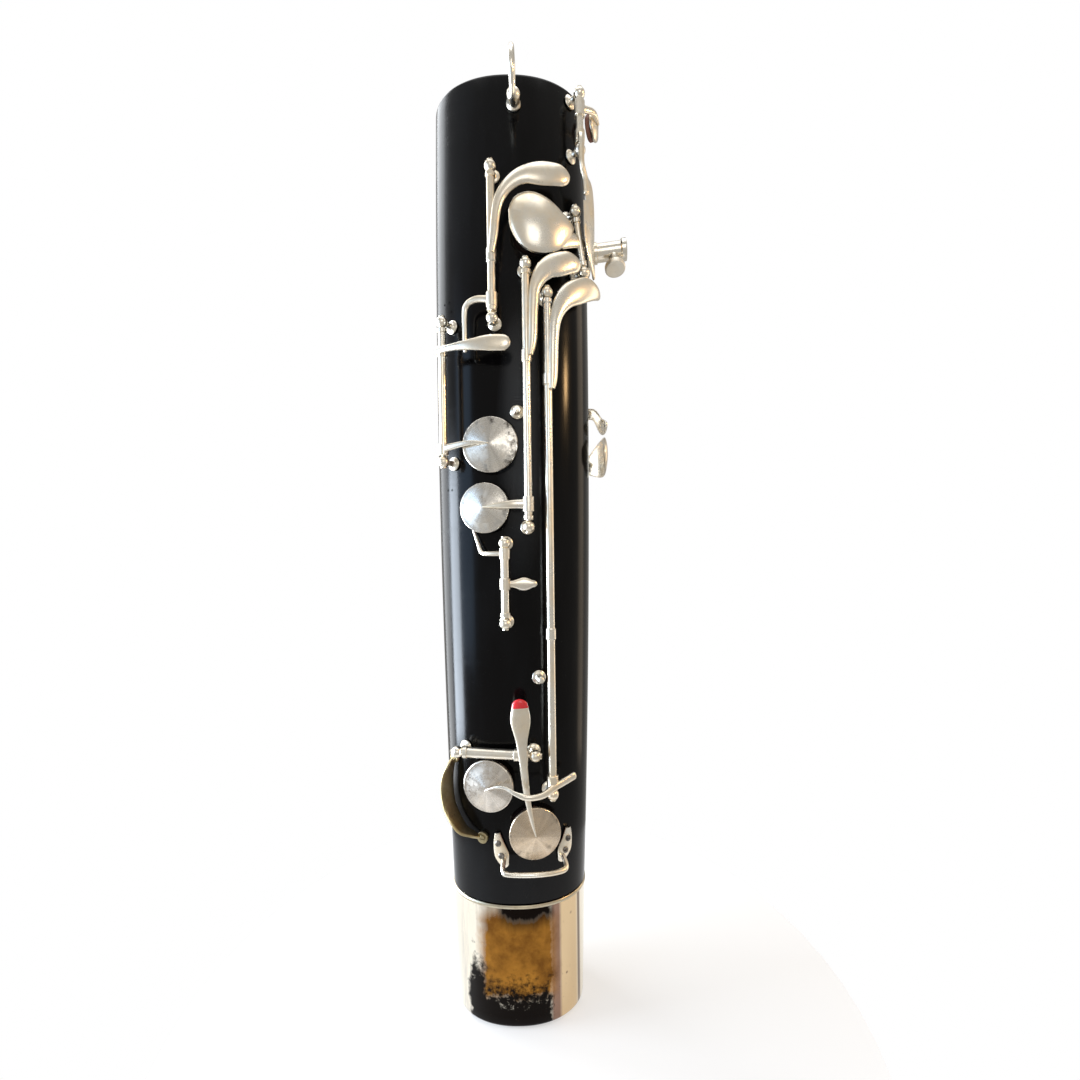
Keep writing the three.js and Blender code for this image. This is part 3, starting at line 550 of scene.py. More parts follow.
def cap_metal(look):
    """The cap: cream metal gone amber in the middle, a brown band and a gold band down the right that are
    painted reflections, and black in flecks low down.
    """
    f = Finish("tarnished cap metal")
    x, _, z = f.split(f.place)
    wander = f.noise(70, 5, 0.62)
    fleck = f.noise(260, 8, 0.74)
    drag = f.noise(150, 5, 0.66, stretch=(1, 1, 0.10))
    hairs = f.rise(f.noise(420, 2, 0.65, stretch=(0.04, 0.04, 1)), 0.55, 0.7)
    across = x * 1000.0 + (wander - 0.5) * 7.0
    height = z * 1000.0 + (wander - 0.5) * 9.0 + (drag - 0.5) * 10.0
    front = thumb_side(f)
    amber = band(across, -17.0, 17.0, 5.0) * band(height, 13.0, 51.0, 5.0) * front
    top = band(across, -9.0, 15.5, 3.5) * band(height, 47.5, 62.0, 7.0) * front
    # Painted reflections: the brown band and the gold band beside it stand in for the surroundings reflected
    # down the right of the cap.
    brown = band(x * 1000.0, 15.2, 19.4, 1.4) * front
    painted_gold_reflection = band(x * 1000.0, 19.0, 27.5, 1.6) * front
    line = band(x * 1000.0, 27.6, 28.8, 0.6) * front
    low = band(across, -22.0, 16.0, 4.0) * front * f.fall(z * 1000.0 * 0.025, 0.16, 0.78)
    left = band(across, -23.0, -15.5, 3.0) * front * f.fall(z * 1000.0 * 0.02, 0.5, 0.85)
    black = f.rise(low * 0.62 + left * 0.3 + fleck * 1.25 - 0.62, 0.20, 0.46)
    smoke = band(across, -16.0, -7.0, 3.5) * band(height, 44.0, 58.0, 4.0) * front
    streaks = f.rise(drag, 0.46, 0.62) * band(x * 1000.0, -27.0, -15.0, 2.0) * front
    spots = f.fall(f.cells(180), 0.06, 0.16) * painted_gold_reflection * f.rise(f.noise(45, 2), 0.48, 0.56)
    specks = f.fall(f.cells(520), 0.05, 0.14) * f.rise(f.noise(35, 3), 0.52, 0.6)
    cloud = f.rise(f.noise(30, 4, 0.6), 0.40, 0.72)
    base = f.mix(cloud * 0.35, look.cap_colour, (0.74, 0.66, 0.50))
    base = f.mix(streaks * 0.55, base, (0.42, 0.38, 0.36))
    # Painted reflections: the gold band, then the brown band beside it.
    base = f.mix(painted_gold_reflection * 0.85, base, (0.70, 0.50, 0.27))
    base = f.mix(brown * 0.92, base, (0.24, 0.125, 0.085))
    base = f.mix(line * 0.85, base, (0.10, 0.055, 0.035))
    base = f.mix(smoke * 0.8, base, (0.22, 0.15, 0.09))
    tone = f.mix(f.rise(wander, 0.35, 0.62), (0.15, 0.060, 0.010), look.cap_amber)
    base = f.mix(amber, base, tone)
    base = f.mix(top, base, (0.006, 0.004, 0.003))
    base = f.mix(black, base, (0.007, 0.005, 0.004))
    base = f.mix((spots + specks * 0.6).clipped(), base, (0.06, 0.03, 0.015))
    level = amber * 0.16 + black * 0.28 + top * 0.12 + specks * 0.2 + hairs * 0.04 + cloud * 0.05 + 0.13
    relief = black * 0.4 + specks * 0.5 - hairs * 0.4 + wander * 0.25
    return f.done(base, level, f.bump(relief, 0.25, 0.00006), 1.0)


def thumb_side(f):
    """1 on the thumb side of the cap, 0 on the finger side."""
    _, y, _ = f.split(f.place)
    return f.rise(y * -40.0, 0.10, 0.34)


def band(value, low, high, soft):
    """1 between two levels of a value in millimetres, softly 0 outside them."""
    rise = ((value - (low - soft / 2)) * (1.0 / soft)).clipped()
    fall = (((high + soft / 2) - value) * (1.0 / soft)).clipped()
    return rise * fall


def pad_leather():
    """Kid leather pads, brown-red and pinched by the tone hole's edge."""
    f = Finish("pad leather", Sheen_Weight=0.15)
    pores = f.cells(2600)
    cloud = f.noise(160, 5, 0.6)
    base = f.mix(f.rise(cloud, 0.35, 0.7), (0.16, 0.055, 0.040), (0.34, 0.145, 0.095))
    rough = cloud * 0.25 + 0.5
    return f.done(base, rough, f.bump(pores * 0.6 + cloud * 0.6, 0.5, 0.00012))


def cork_sheet():
    f = Finish("sheet cork")
    cells = f.cells(1500)
    blotch = f.rise(f.noise(700, 4), 0.45, 0.6)
    base = f.mix(blotch, (0.52, 0.36, 0.21), (0.27, 0.16, 0.09))
    return f.done(base, cells * 0.3 + 0.6, f.bump(cells + blotch * 0.5, 0.6, 0.0001))


def red_enamel():
    f = Finish("red enamel", Coat_Weight=0.6, Coat_Roughness=0.08)
    chips = f.rise(f.noise(900, 4, 0.7), 0.58, 0.66)
    base = f.mix(chips * 0.7, (0.62, 0.012, 0.02), (0.35, 0.02, 0.02))
    return f.done(base, chips * 0.2 + 0.22, f.bump(chips * -1.0, 0.3, 0.00005))


def blued_steel():
    """Dark steel of screws and needle springs."""
    f = Finish("dark steel")
    cloud = f.noise(800, 4, 0.6)
    base = f.mix(f.rise(cloud, 0.4, 0.65), (0.10, 0.095, 0.09), (0.34, 0.31, 0.27))
    return f.done(base, cloud * 0.25 + 0.22, f.bump(cloud, 0.2, 0.00004), 1.0)


def pale_stage(name, tone):
    f = Finish(name, Specular_IOR_Level=0.05, Emission_Color=(1, 1, 1, 1), Emission_Strength=0.5)
    cloud = f.noise(3.0, 4, 0.6)
    base = f.mix(cloud * 0.25, tone, dyed(tone, 0.985, 0.985, 0.985))
    return f.done(base, cloud * 0.1 + 0.75, f.bump(f.noise(900, 2), 0.05, 0.0002))


# ---- Shapes that repeat -------------------------------------------------------------------

def carved(bm, cutter_groups):
    """Cuts groups of closed shells out of a bmesh, one boolean for each group."""
    mesh = bpy.data.meshes.new("blank")
    bm.to_mesh(mesh)
    bm.free()
    blank = bpy.data.objects.new("blank", mesh)
    bpy.context.scene.collection.objects.link(blank)
    tools = []
    for group in cutter_groups:
        tool_mesh = bpy.data.meshes.new("cutter")
        group.bm.to_mesh(tool_mesh)
        group.bm.free()
        tool = bpy.data.objects.new("cutter", tool_mesh)
        bpy.context.scene.collection.objects.link(tool)
        cut = blank.modifiers.new("cut", "BOOLEAN")
        cut.operation = "DIFFERENCE"
        cut.solver = "EXACT"
        cut.object = tool
        tools.append(tool)
    seen = blank.evaluated_get(bpy.context.evaluated_depsgraph_get())
    result = bmesh.new()
    result.from_mesh(seen.to_mesh())
    seen.to_mesh_clear()
    for leftover in [blank] + tools:
        data = leftover.data
        bpy.data.objects.remove(leftover)
        bpy.data.meshes.remove(data)
    return result


def round_bar(start, end, radius, steps=20):
    """A straight rod with softly broken edges."""
    length = (end - start).length
    soft = min(0.18, radius * 0.3, length * 0.3)
    profile = [(0, 0), (radius - soft, 0), (radius, soft), (radius, length - soft),
               (radius - soft, length), (0, length)]
    bm = turned(profile, steps)
    bmesh.ops.transform(bm, matrix=frame_along(start, end - start), verts=bm.verts)
    return bm


def slotted_head(work, origin, axis, radius, height, slot=0.42, hint=Vector((0, -1, 0))):
    """A screw head with a straight driver slot."""
    place = frame_along(origin, axis, hint)
    floor = height * 0.45
    work.take(turned([(0, 0), (radius, 0), (radius, floor), (0, floor)], 24), place)
    for side in (1, -1):
        half = turned([(0, floor * 0.8), (radius, floor * 0.8), (radius, height - 0.12),
                       (radius - 0.14, height), (0, height)], 24)
        geometry = half.verts[:] + half.edges[:] + half.faces[:]
        cut = bmesh.ops.bisect_plane(half, geom=geometry, plane_co=(side * slot / 2, 0, 0),
                                     plane_no=(side, 0, 0), clear_inner=True)["geom_cut"]
        bmesh.ops.contextual_create(half, geom=[g for g in cut if isinstance(g, bmesh.types.BMEdge)])
        work.take(half, place)


def post_shell(work, root, centre, ball):
    """A turned post: flange, fillet, waist and ball."""
    height = (centre - root).length
    profile = [(0, 0), (2.9, 0), (3.1, 0.15), (3.1, 0.55), (2.8, 0.85), (2.1, 1.0), (1.6, 1.35), (1.3, 2.0),
               (1.22, height - ball + 0.1)]
    profile += [p for p in [(r, z + height) for r, z in arc(0, 0, ball, -60, 90, 14)] if p[0] > 0.01]
    profile.append((0, height + ball))
    work.take(turned(profile, 32), frame_along(root, centre - root, Vector((0, 0, 1))))


def hinge_tube(work, low, high, radius, reach):
    """The tube between two ball posts, with a collar and a groove at each end."""
    length = (high - low).length - 2 * reach
    up = (high - low).normalized()
    wide = radius + 0.42
    end = [(0.95, 3.2), (0.95, 0.0), (wide - 0.12, 0.0), (wide, 0.12), (wide, 1.7), (wide - 0.14, 1.85),
           (radius - 0.12, 1.9), (radius - 0.12, 2.15), (radius, 2.25)]
    other = [(r, length - z) for r, z in reversed(end)]
    middle = [(radius, 2.25 + (length - 4.5) * i / 12) for i in range(1, 12)]
    profile = [(0, 3.2)] + end + middle + other + [(0, length - 3.2)]
    work.take(turned(profile, 28), frame_along(low + up * reach, up, Vector((0, -1, 0.01))))


def collar(work, low, up, start, end, radius):
    """A soldered sleeve on a hinge tube, between two distances from the low ball."""
    soft = 0.25
    length = end - start
    profile = [(0.6, 0), (radius - soft, 0), (radius, soft), (radius, length - soft), (radius - soft, length),
               (0.6, length), (0.6, 0)]
    work.take(turned(profile, 28), frame_along(low + up * start, up))


BALL = 2.6
TUBE = 1.75
PIN_RADIUS = 0.85
PIN_REACH = 3.2
MIDDLE_BALL = 1.9
MIDDLE_POST_HEIGHT = 5
SPRING_REACH = 17.0
SPRING_RADIUS = (0.27, 0.16)


class Hinge:
    """A key's axis: its two ball centres and the turns where its posts stand."""

    def __init__(self, low, high, turns, radius=TUBE):
        self.low, self.high, self.turns, self.radius = low, high, turns, radius
        self.up = (high - low).normalized()

    @classmethod
    def upright(cls, x, z_low, z_high, height=KEY_HEIGHT, radius=TUBE):
        high = thumb(x, z_high, height)
        low = Vector((high.x, high.y, z_low))
        return cls(low, high, (turn_at(x, z_low), turn_at(x, z_high)), radius)

    @classmethod
    def between(cls, low_station, high_station, radius=TUBE):
        turns = (turn_at(*low_station[:2]), turn_at(*high_station[:2]))
        return cls(thumb(*low_station), thumb(*high_station), turns, radius)

    def at(self, z, out=0.0):
        share = (z - self.low.z) / (self.high.z - self.low.z)
        point = self.low.lerp(self.high, share)
        away = Vector((point.x, point.y / DEPTH_RATIO ** 2, 0)).normalized()
        return point + away * out


def gather_hinges():
    """Every key's axis, from the same driving sizes as the frame."""
    line = {
        "bflat_lever": Hinge.upright(-6.45, 317.7, 383.2),
        "bflat_pad": Hinge.upright(-26.3, 257.1, 319.6),
        "low_e": Hinge.between((29.5, 342.9, 6.4), (26.3, 368.6, 6.4), 1.5),
        "fsharp": Hinge.upright(6.75, 227.4, 340.9),
        "link_lever": Hinge.upright(-2.8, 185.6, 220.4),
        "gsharp": Hinge.between((14.4, 109.9, 7.2), (14.9, 329.2, 6.7)),
        "red_tip": Hinge.between((-22.4, 127.5, KEY_HEIGHT), (8.1, 127.5, KEY_HEIGHT), 2.2),
        "side_key": Hinge.upright(28.4, 398.6, 424.2, 6.5),
    }
    high = skin(FINGER_TURN, 336, 6)
    middle, low = Vector((high.x, high.y, 281.5)), Vector((high.x, high.y, 158))
    line["aflat"] = Hinge(middle, high, (FINGER_TURN, FINGER_TURN))
    line["low_f"] = Hinge(low, middle, (FINGER_TURN, FINGER_TURN))
    plate_high = skin(222, 245, 6)
    plate_low = Vector((plate_high.x, plate_high.y, 211))
    line["g_plate"] = Hinge(plate_low, plate_high, (222, 222))
    return line


HINGES = gather_hinges()
POST_NODES = {key: (f"{key}_post_low", f"{key}_post_high")
              for key in ("bflat_lever", "bflat_pad", "low_e", "fsharp", "link_lever", "gsharp", "red_tip",
                          "side_key", "low_f", "aflat", "g_plate")}
POST_NODES["red_tip"] = ("red_tip_post_left", "red_tip_post_right")
POST_NODES["low_f"] = ("little_finger_post_low", "little_finger_post_middle")
POST_NODES["aflat"] = (None, "little_finger_post_high")
MIDDLE_POSTS = {"fsharp_post_middle": (2.9, 278.5), "gsharp_post_middle": (10.9, 160.3)}


def cup_and_pad(key, body, radius, pad_radius, look, seed, tarnish=0.6, lift=0.0):
    """A pad cup, which is a turned shallow cone with a rolled rim, and the pad under it."""
    turn, z = SEATS[key][:2]
    place = skin_frame(turn, z)
    base = CUP_BASE + lift
    profile = [(0, base + 0.9), (radius - 1.0, base + 0.9), (radius - 0.9, base + 0.1), (radius - 0.6, base)]
    profile += arc(radius - 0.35, base + 0.35, 0.35, -80, 10, 4)
    profile += arc(radius - 0.55, base + 1.2, 0.55, 5, 80, 5)
    steps = 10
    for i in range(steps + 1):
        share = i / steps
        profile.append(((radius * 0.94) * (1 - share), base + 1.75 + 2.35 * share ** 1.06))
    cup = Work().take(turned(profile, 72), place)
    centre = (skin(turn, z) + normal_at(turn, z) * base) * MM
    tint = dyed(look.cup_colour, *CUP_TONES.get(key, (1, 1, 1)))
    metal = turned_disc(f"{key} cup metal", centre, normal_at(turn, z), tint, look.cup_roughness, tarnish,
                        seed)
    cup.finish(f"{key}_cup", metal, body, sharp=30)
    pad_piece(key, body, pad_radius, lift)


def pad_piece(key, body, radius, lift=0.0):
    turn, z = SEATS[key][:2]
    base = PAD_BASE + lift
    profile = [(0, base + 0.15), (radius * 0.62, base + 0.12), (radius * 0.68, base + 0.3),
               (radius * 0.74, base)]
    profile += arc(radius - 0.6, base + 0.6, 0.6, -90, 0, 6) + arc(radius - 0.3, base + 2.05, 0.3, 0, 90, 4)
    profile.append((0, base + 2.35))
    leather_piece(key, body, Work().take(turned(profile, 56), skin_frame(turn, z)))


def leather_piece(key, body, work):
    piece = work.finish(f"{key}_leather", pad_leather(), body, (f"{key}_pad",), "pad_leather")


def pear_plate(outline, low, edge, crown, place):
    """A domed plate with a rolled edge over a closed outline."""
    ring = spline(list(outline) + [outline[0]], 72)[:-1]
    middle = Vector((sum(p[0] for p in ring) / len(ring), sum(p[1] for p in ring) / len(ring)))

    def row(scale, height):
        return [place(middle.x + (x - middle.x) * scale, middle.y + (z - middle.y) * scale, height)
                for x, z in ring]
    rows = [row(0.05, low + 0.8), row(0.5, low + 0.7), row(0.9, low + 0.3), row(0.975, low)]
    rows += [row(0.995, low + 0.15), row(1.0, (low + edge) / 2), row(0.992, edge)]
    for i in range(1, 13):
        share = i / 12
        rise = math.sin(math.pi / 2 * share ** 0.8)
        rows.append(row(0.985 * (1 - share) + 0.03, edge + (crown - edge) * rise))
    return loft(rows)


# ---- The pieces ---------------------------------------------------------------------------

SECTION_STEPS = 160


def section(z, inset=0.0, share=1.0, height=0.0):
    """The outline of the body at a height, inset, stood off or shrunk towards its middle."""
    ring = [skin(360 * i / SECTION_STEPS, z, height, inset) for i in range(SECTION_STEPS)]
    return [Vector((p.x * share, p.y * share, z)) for p in ring]


def between(low, high, steps):
    return [low + (high - low) * i / steps for i in range(steps + 1)]


def upright_turned(profile, x, steps=56):
    bm = turned(profile, steps)
    bmesh.ops.translate(bm, vec=(x, 0, 0), verts=bm.verts)
    return bm


def build_body(look):
    foot = [section(CAP_SHOULDER, 2.5), section(41.7, 1.9), section(56.7, 1.9), section(56.9, 1.8),
            section(56.9, 0.4), section(57.3, 0.0)]
    trunk = [section(z) for z in between(61, 428.7, 62)]
    rim = [section(429.3, 0.06), section(429.75, 0.28), section(429.96, 0.62), section(430, 1.1)]
    block = loft(foot + trunk + rim)
    seats, tone_holes, bores, small_holes = Work(), Work(), Work(), Work()
    for turn, z, radius, hole, bore_x in SEATS.values():
        seats.take(turned([(0, -SEAT_DROP), (radius, -SEAT_DROP), (radius, 12), (0, 12)], 64),
                   skin_frame(turn, z))
        tone_holes.take(round_bar(Vector((bore_x, 0, z)), skin(turn, z, 1), hole, 40))
    for x, (radius, depth), bore in ((BASS_X, BASS_SOCKET, 13), (WING_X, WING_SOCKET, 8.2)):
        floor, above = LENGTH - depth, LENGTH + 1
        bores.take(upright_turned([(0, 40), (8.8, 40), (8.8, 42), (bore, floor), (radius, floor),
                                   (radius, above), (0, above)], x))
    for turn, z in FINGER_HOLES:
        small_holes.take(round_bar(Vector((WING_X, 0, z + 14)), skin(turn, z, 2), 3.4, 32))
    for x, z in OLD_SCREW_HOLES:
        small_holes.take(round_bar(thumb(x, z, -3.5), thumb(x, z, 1.5), 0.5, 12))
    solid = carved(block, [seats, tone_holes, bores, small_holes])
    body = Work().take(solid)
    body.finish("rubber_body", polished_rubber(look), "boot", ("boot_body",), "ebonite", sharp=24)


def socket_lining(name, x, socket, seed, look):
    outer = socket[0] - GAP
    inner = outer - LINER_WALL
    low, high = LENGTH - socket[1] + GAP, LENGTH - 0.4
    profile = [(inner, low), (outer, low), (outer, high - 0.5), (outer - 0.15, high - 0.1),
               (outer - 0.4, high), (inner + 0.2, high), (inner, high - 0.25), (inner, low)]
    metal = nickel_silver(f"{name} metal", look.key_colour, 0.28, 0.5, 0.4, seed)
    Work().take(upright_turned(profile, x, 72)).finish(name, metal, "boot", (f"{name}_liner",), "liner_metal")


def build_linings(look):
    socket_lining("bass_socket", BASS_X, BASS_SOCKET, 0.021, look)
    socket_lining("wing_socket", WING_X, WING_SOCKET, 0.034, look)


def build_cap(look):
    rows = [section(0, share=0.02), section(0, share=0.6), section(0, 2.3), section(0.1, 1.35),
            section(0.45, 0.6), section(1.0, 0.16), section(1.8, 0.0)]
    rows += [section(z) for z in between(5, 54.5, 14)]
    rows += [section(56.2, 0.0), section(56.5, 0.12), section(56.6, 0.4), section(56.6, 1.45),
             section(56.3, CAP_WALL), section(CAP_SHOULDER, CAP_WALL), section(CAP_SHOULDER - 0.7, 1.05),
             section(3.0, 1.05),
             section(2.0, 1.5), section(1.6, 2.6), section(1.6, share=0.6), section(1.6, share=0.02)]
    cap = Work().take(loft(rows))
    cap.finish("cap_shell", cap_metal(look), "cap", ("boot_cap",), "cap_metal")
    bead = []
    for z, height in ((54.9, 0.02), (55.0, 0.22), (55.3, 0.36), (55.9, 0.38), (56.3, 0.26), (56.5, 0.02),
                      (56.4, -0.3), (55.0, -0.3), (54.9, 0.02)):
        bead.append(section(z, 0, 1.0, height))
    rim = Work().take(loft(bead, closed_ends=False))
    bright = nickel_silver("bright cap rim", (0.52, 0.47, 0.36), 0.26, 0.9, 0.5, 0.07)
    rim.finish("cap_rim_ring", bright, "cap", (), "cap_metal")
    brass = nickel_silver("tube brass", (0.72, 0.50, 0.20), 0.3, 0.7, 0.3)
    for node, material in (("u_tube", brass), ("u_tube_gasket", cork_sheet())):
        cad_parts[node].data.materials.clear()
        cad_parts[node].data.materials.append(material)


def pivot_screw(work, centre, towards):
    """The pin that a hinge tube turns on, and its slotted head on the far side of the ball."""
    work.take(round_bar(centre, centre + towards * (BALL + PIN_REACH), PIN_RADIUS, 16))
    slotted_head(work, centre - towards * (BALL - 0.45), -towards, 1.35, 0.75)


def ball_post(name, turn, centre, directions, metal):
    post = Work()
    post_shell(post, skin(turn, centre.z, GAP), centre, BALL)
    for towards in directions:
        pivot_screw(post, centre, towards)
    post.finish(f"{name}_turned", metal, "boot", (name,), "post_metal")


def build_posts(look):
    metals = [nickel_silver(f"post metal {i}", look.key_colour, look.key_roughness, 0.8, 0.7, 0.03 * i)
              for i in (1, 2, 3)]
    for count, (key, (low_name, high_name)) in enumerate(POST_NODES.items()):
        line = HINGES[key]
        if low_name:
            ball_post(low_name, line.turns[0], line.low, [line.up], metals[count % 3])
        ways = [-line.up, line.up] if key == "low_f" else [-line.up]
        ball_post(high_name, line.turns[1], line.high, ways, metals[(count + 1) % 3])
    for name, (x, z) in MIDDLE_POSTS.items():
        post = Work()
        root, centre = thumb(x, z, GAP), thumb(x, z, MIDDLE_POST_HEIGHT)
        post_shell(post, root, centre, MIDDLE_BALL)
        slotted_head(post, centre + (centre - root).normalized() * 1.5, centre - root, 1.0, 0.6)
        post.finish(f"{name}_turned", metals[0], "boot", (name,), "post_metal")


def build_strap_ring(look):
    x, z, eye_height, mean, wire = 3.0, 415.5, 5.2, 8.9, 1.1
    turn = turn_at(x, z)
    eye = skin(turn, z, eye_height)
    profile = [(0, 0.3), (3.1, 0.3), (3.25, 0.5), (3.25, 1.0), (3.1, 1.3), (2.8, 1.7), (2.65, 2.3),
               (2.75, 3.2), (2.95, 5.4)]
    profile += arc(0.5, 5.5, 2.45, 0, 84, 9) + [(0, 8.0)]
    knob = turned(profile, 40)
    bmesh.ops.transform(knob, matrix=skin_frame(turn, z), verts=knob.verts)
    bmesh.ops.recalc_face_normals(knob, faces=knob.faces)
    passage = Work().take(round_bar(eye - Vector((0, 0, 9)), eye + Vector((0, 0, 9)), wire + 0.75, 28))
    post = Work().take(carved(knob, [passage]))
    metal = nickel_silver("strap post metal", look.key_colour, 0.3, 0.8, 0.6, 0.05)
    post.finish("strap_post_turned", metal, "boot", ("strap_ring_post",), "post_metal", sharp=32)
    circle = [(mean + wire * math.cos(a), wire * math.sin(a)) for a in ring_angles(20)]
    ring = turned(circle + circle[:1], 72)
    centre = Vector((eye.x, eye.y - mean, z))
    place = frame_from(Vector((0, 0, -1)), Vector((0, 1, 0)), Vector((1, 0, 0)), centre)
    bright = nickel_silver("strap ring metal", look.key_colour, 0.2, 0.5, 0.5, 0.011)
    Work().take(ring, place).finish("strap_ring_wire", bright, "strap_ring", ("strap_ring",), "post_metal")


SCREW_FROM_END = 6.6
SCREW_HEAD_RADIUS = 5.0
KNURLS = 72


def build_hand_rest(look):
    start, end = Vector((37.6, 1.0, 365.0)), Vector((57.2, -1.0, 366.4))
    radius, bore, depth = 4.35, 3.3, 15.0
    along = (end - start).normalized()
    length = (end - start).length
    socket = Work()
    profile = [(0, 0), (5.0, 0), (5.0, 3.0), (4.6, 3.2), (4.6, 3.6), (5.0, 3.8), (5.0, 5.0), (radius, 5.25),
               (radius, length - 3.0), (4.6, length - 2.7), (5.15, length - 2.3), (5.2, length - 0.5),
               (5.05, length - 0.1), (4.8, length), (bore + 0.2, length), (bore, length - 0.3),
               (bore, length - depth), (0, length - depth)]
    socket.take(turned(profile, 48), frame_along(start, along))
    outline = [(-9, 356.5), (-7.5, 354.9), (0, 354.5), (7.5, 354.9), (9, 356.5), (9, 365.5), (9, 374.5),
               (7.5, 376.1), (0, 376.5), (-7.5, 376.1), (-9, 374.5), (-9, 365.5)]
    socket.take(pear_plate(outline, GAP, 1.9, 2.4, by_turn(90)))
    for across, z in ((-6.0, 358.1), (-6.0, 372.9)):
        at = skin(90 + across, z, 2.2)
        slotted_head(socket, at, normal_at(90 + across, z), 1.5, 0.7)
    side = Vector((0, -0.33, -0.944))
    side = (side - along * side.dot(along)).normalized()
    seat = end - along * SCREW_FROM_END
    sleeve = [(1.5, radius - 1.0), (2.6, radius - 1.0), (2.6, 6.6), (2.4, 7.0), (1.5, 7.0),
              (1.5, radius - 1.0)]
    socket.take(turned(sleeve, 28), frame_along(seat, side))
    metal = nickel_silver("hand rest metal", look.key_colour, 0.2, 0.8, 0.7, 0.045)
    socket.finish("hand_rest_tube", metal, "boot", ("hand_rest_socket",), "post_metal")
    screw = Work()
    edge = SCREW_HEAD_RADIUS
    head = turned([(0, 9.3), (4.5, 9.3), (4.9, 9.6), (edge, 9.9), (edge, 11.8), (4.85, 12.1), (4.5, 12.3),
                   (3.9, 12.25), (0, 12.1)], KNURLS)
    for vert in head.verts:
        angle = math.atan2(vert.co.y, vert.co.x)
        if vert.co.xy.length > edge - 0.05 and round(angle / math.tau * KNURLS) % 2:
            vert.co.xy *= 0.972
    screw.take(head, frame_along(seat, side))
    screw.take(turned([(0, 3.7), (1.2, 3.7), (1.2, 7.3), (2.4, 7.3), (2.4, 9.4), (0, 9.4)], 28),
               frame_along(seat, side))
    pale = nickel_silver("thumb screw metal", look.key_colour, 0.42, 0.3, 0.35, 0.015)
    screw.finish("hand_rest_thumb_screw", pale, "hand_rest_screw", ("hand_rest_screw",), "key_metal")


def build_guards(look):
    hoop = ((-27.9, 121.4, 1.4, 0.6), (-28.0, 118.4, 3.2, 2.0), (-28.4, 113, 4.9, 3.3),
            (-28.5, 105.5, 5, 3.5), (-27, 98.5, 5, 3.5), (-22.5, 91.8, 4.9, 3.3), (-18.6, 89.4, 3.2, 2.0),
            (-15.2, 87.6, 1.4, 0.6))
    curved = Work().take(bar([(*thumb(x, z, h), 0.65, tall) for x, z, h, tall in hoop], 52, 28, 6.0,
                             nose=False))
    for x, z in ((-27.9, 121.4), (-15.0, 87.5)):
        turn = turn_at(x, z)
        curved.take(turned([(0, GAP), (2.6, GAP), (2.6, 1.55), (2.4, 1.85), (0, 1.9)], 32),
                    skin_frame(turn, z))
        slotted_head(curved, skin(turn, z, 1.8), normal_at(turn, z), 1.4, 0.8)
    dull = nickel_silver("guard brass", look.guard_colour, 0.3, 1.0, 0.9, 0.06)
    curved.finish("curved_guard_strap", dull, "boot", ("curved_pad_guard",), "guard_metal")
    wire = ((-5.6, 78.5, 1.4), (-5.2, 76.6, 6.4), (-2.6, 76, 7.9), (8, 75.6, 8.2), (16.6, 75.1, 7.9),
            (19.4, 75.5, 6.2), (20.2, 77.6, 1.4))
    guard = Work().take(bar([(*thumb(*point), 1.1, 1.1) for point in wire], 48, 18, 2.0))
    leaves = (((-8.4, 90.4, 1.2), (-7.9, 86, 2.3), (-6.6, 80.5, 3.2), (-5.4, 76.5, 2.0)),
              ((22.9, 89.6, 1.2), (22.4, 85, 2.2), (21.2, 80, 3.0), (20, 76.2, 1.8)))
    steel = blued_steel()
    screws = Work()
    for leaf in leaves:
        guard.take(blade(leaf, GAP, 1.7, pieces=24))
        for x, z, _ in leaf[1:3]:
            guard.take(round_bar(thumb(x, z, 1.2), thumb(x, z, 1.55), 1.7, 24))
            slotted_head(screws, thumb(x, z, 1.5), normal_at(turn_at(x, z), z), 1.35, 0.8)
    screws.finish("bar_guard_screws", steel, "boot", (), "post_metal")
    silver = nickel_silver("bar guard metal", look.key_colour, 0.22, 0.7, 0.8, 0.08)
    guard.finish("bar_guard_wire", silver, "boot", ("bar_pad_guard",), "guard_metal")


def arm(start, stations, width, thickness, tip=0.25, pieces=26):
    """A flat arm from a point through stations on the skin that narrows to a point on its cup."""
    points = [start] + [thumb(*s) for s in stations]
    return pointed_bar(points, width, thickness, tip, pieces)


def pointed_bar(points, width, thickness, tip, pieces=26):
    last = len(points) - 1
    rows = []
    for i, point in enumerate(points):
        share = (i / last) ** 1.6
        thin = thickness + (0.35 - thickness) * share * (tip < 0.6)
        rows.append((*point, width + (tip - width) * share, thin))
    return bar(rows, pieces, 14, 2.3)


def begin(hinge):
    """A hinge, and a key begun with the tube that turns on it."""
    line, key = HINGES[hinge], Work()
    hinge_tube(key, line.low, line.high, line.radius, BALL + GAP)
    return line, key


def key_piece(name, work, node, body, look, seed, tarnish=0.5, warm=0.6):
    metal = nickel_silver(f"{name} metal", look.key_colour, look.key_roughness, tarnish, warm, seed)
    work.finish(name, metal, body, (node,), "key_metal", sharp=40)


def collared(line, start, end, work, radius=2.5):
    """A sleeve on an upright hinge between two heights."""
    collar(work, line.low, line.up, start - line.low.z, end - line.low.z, radius)


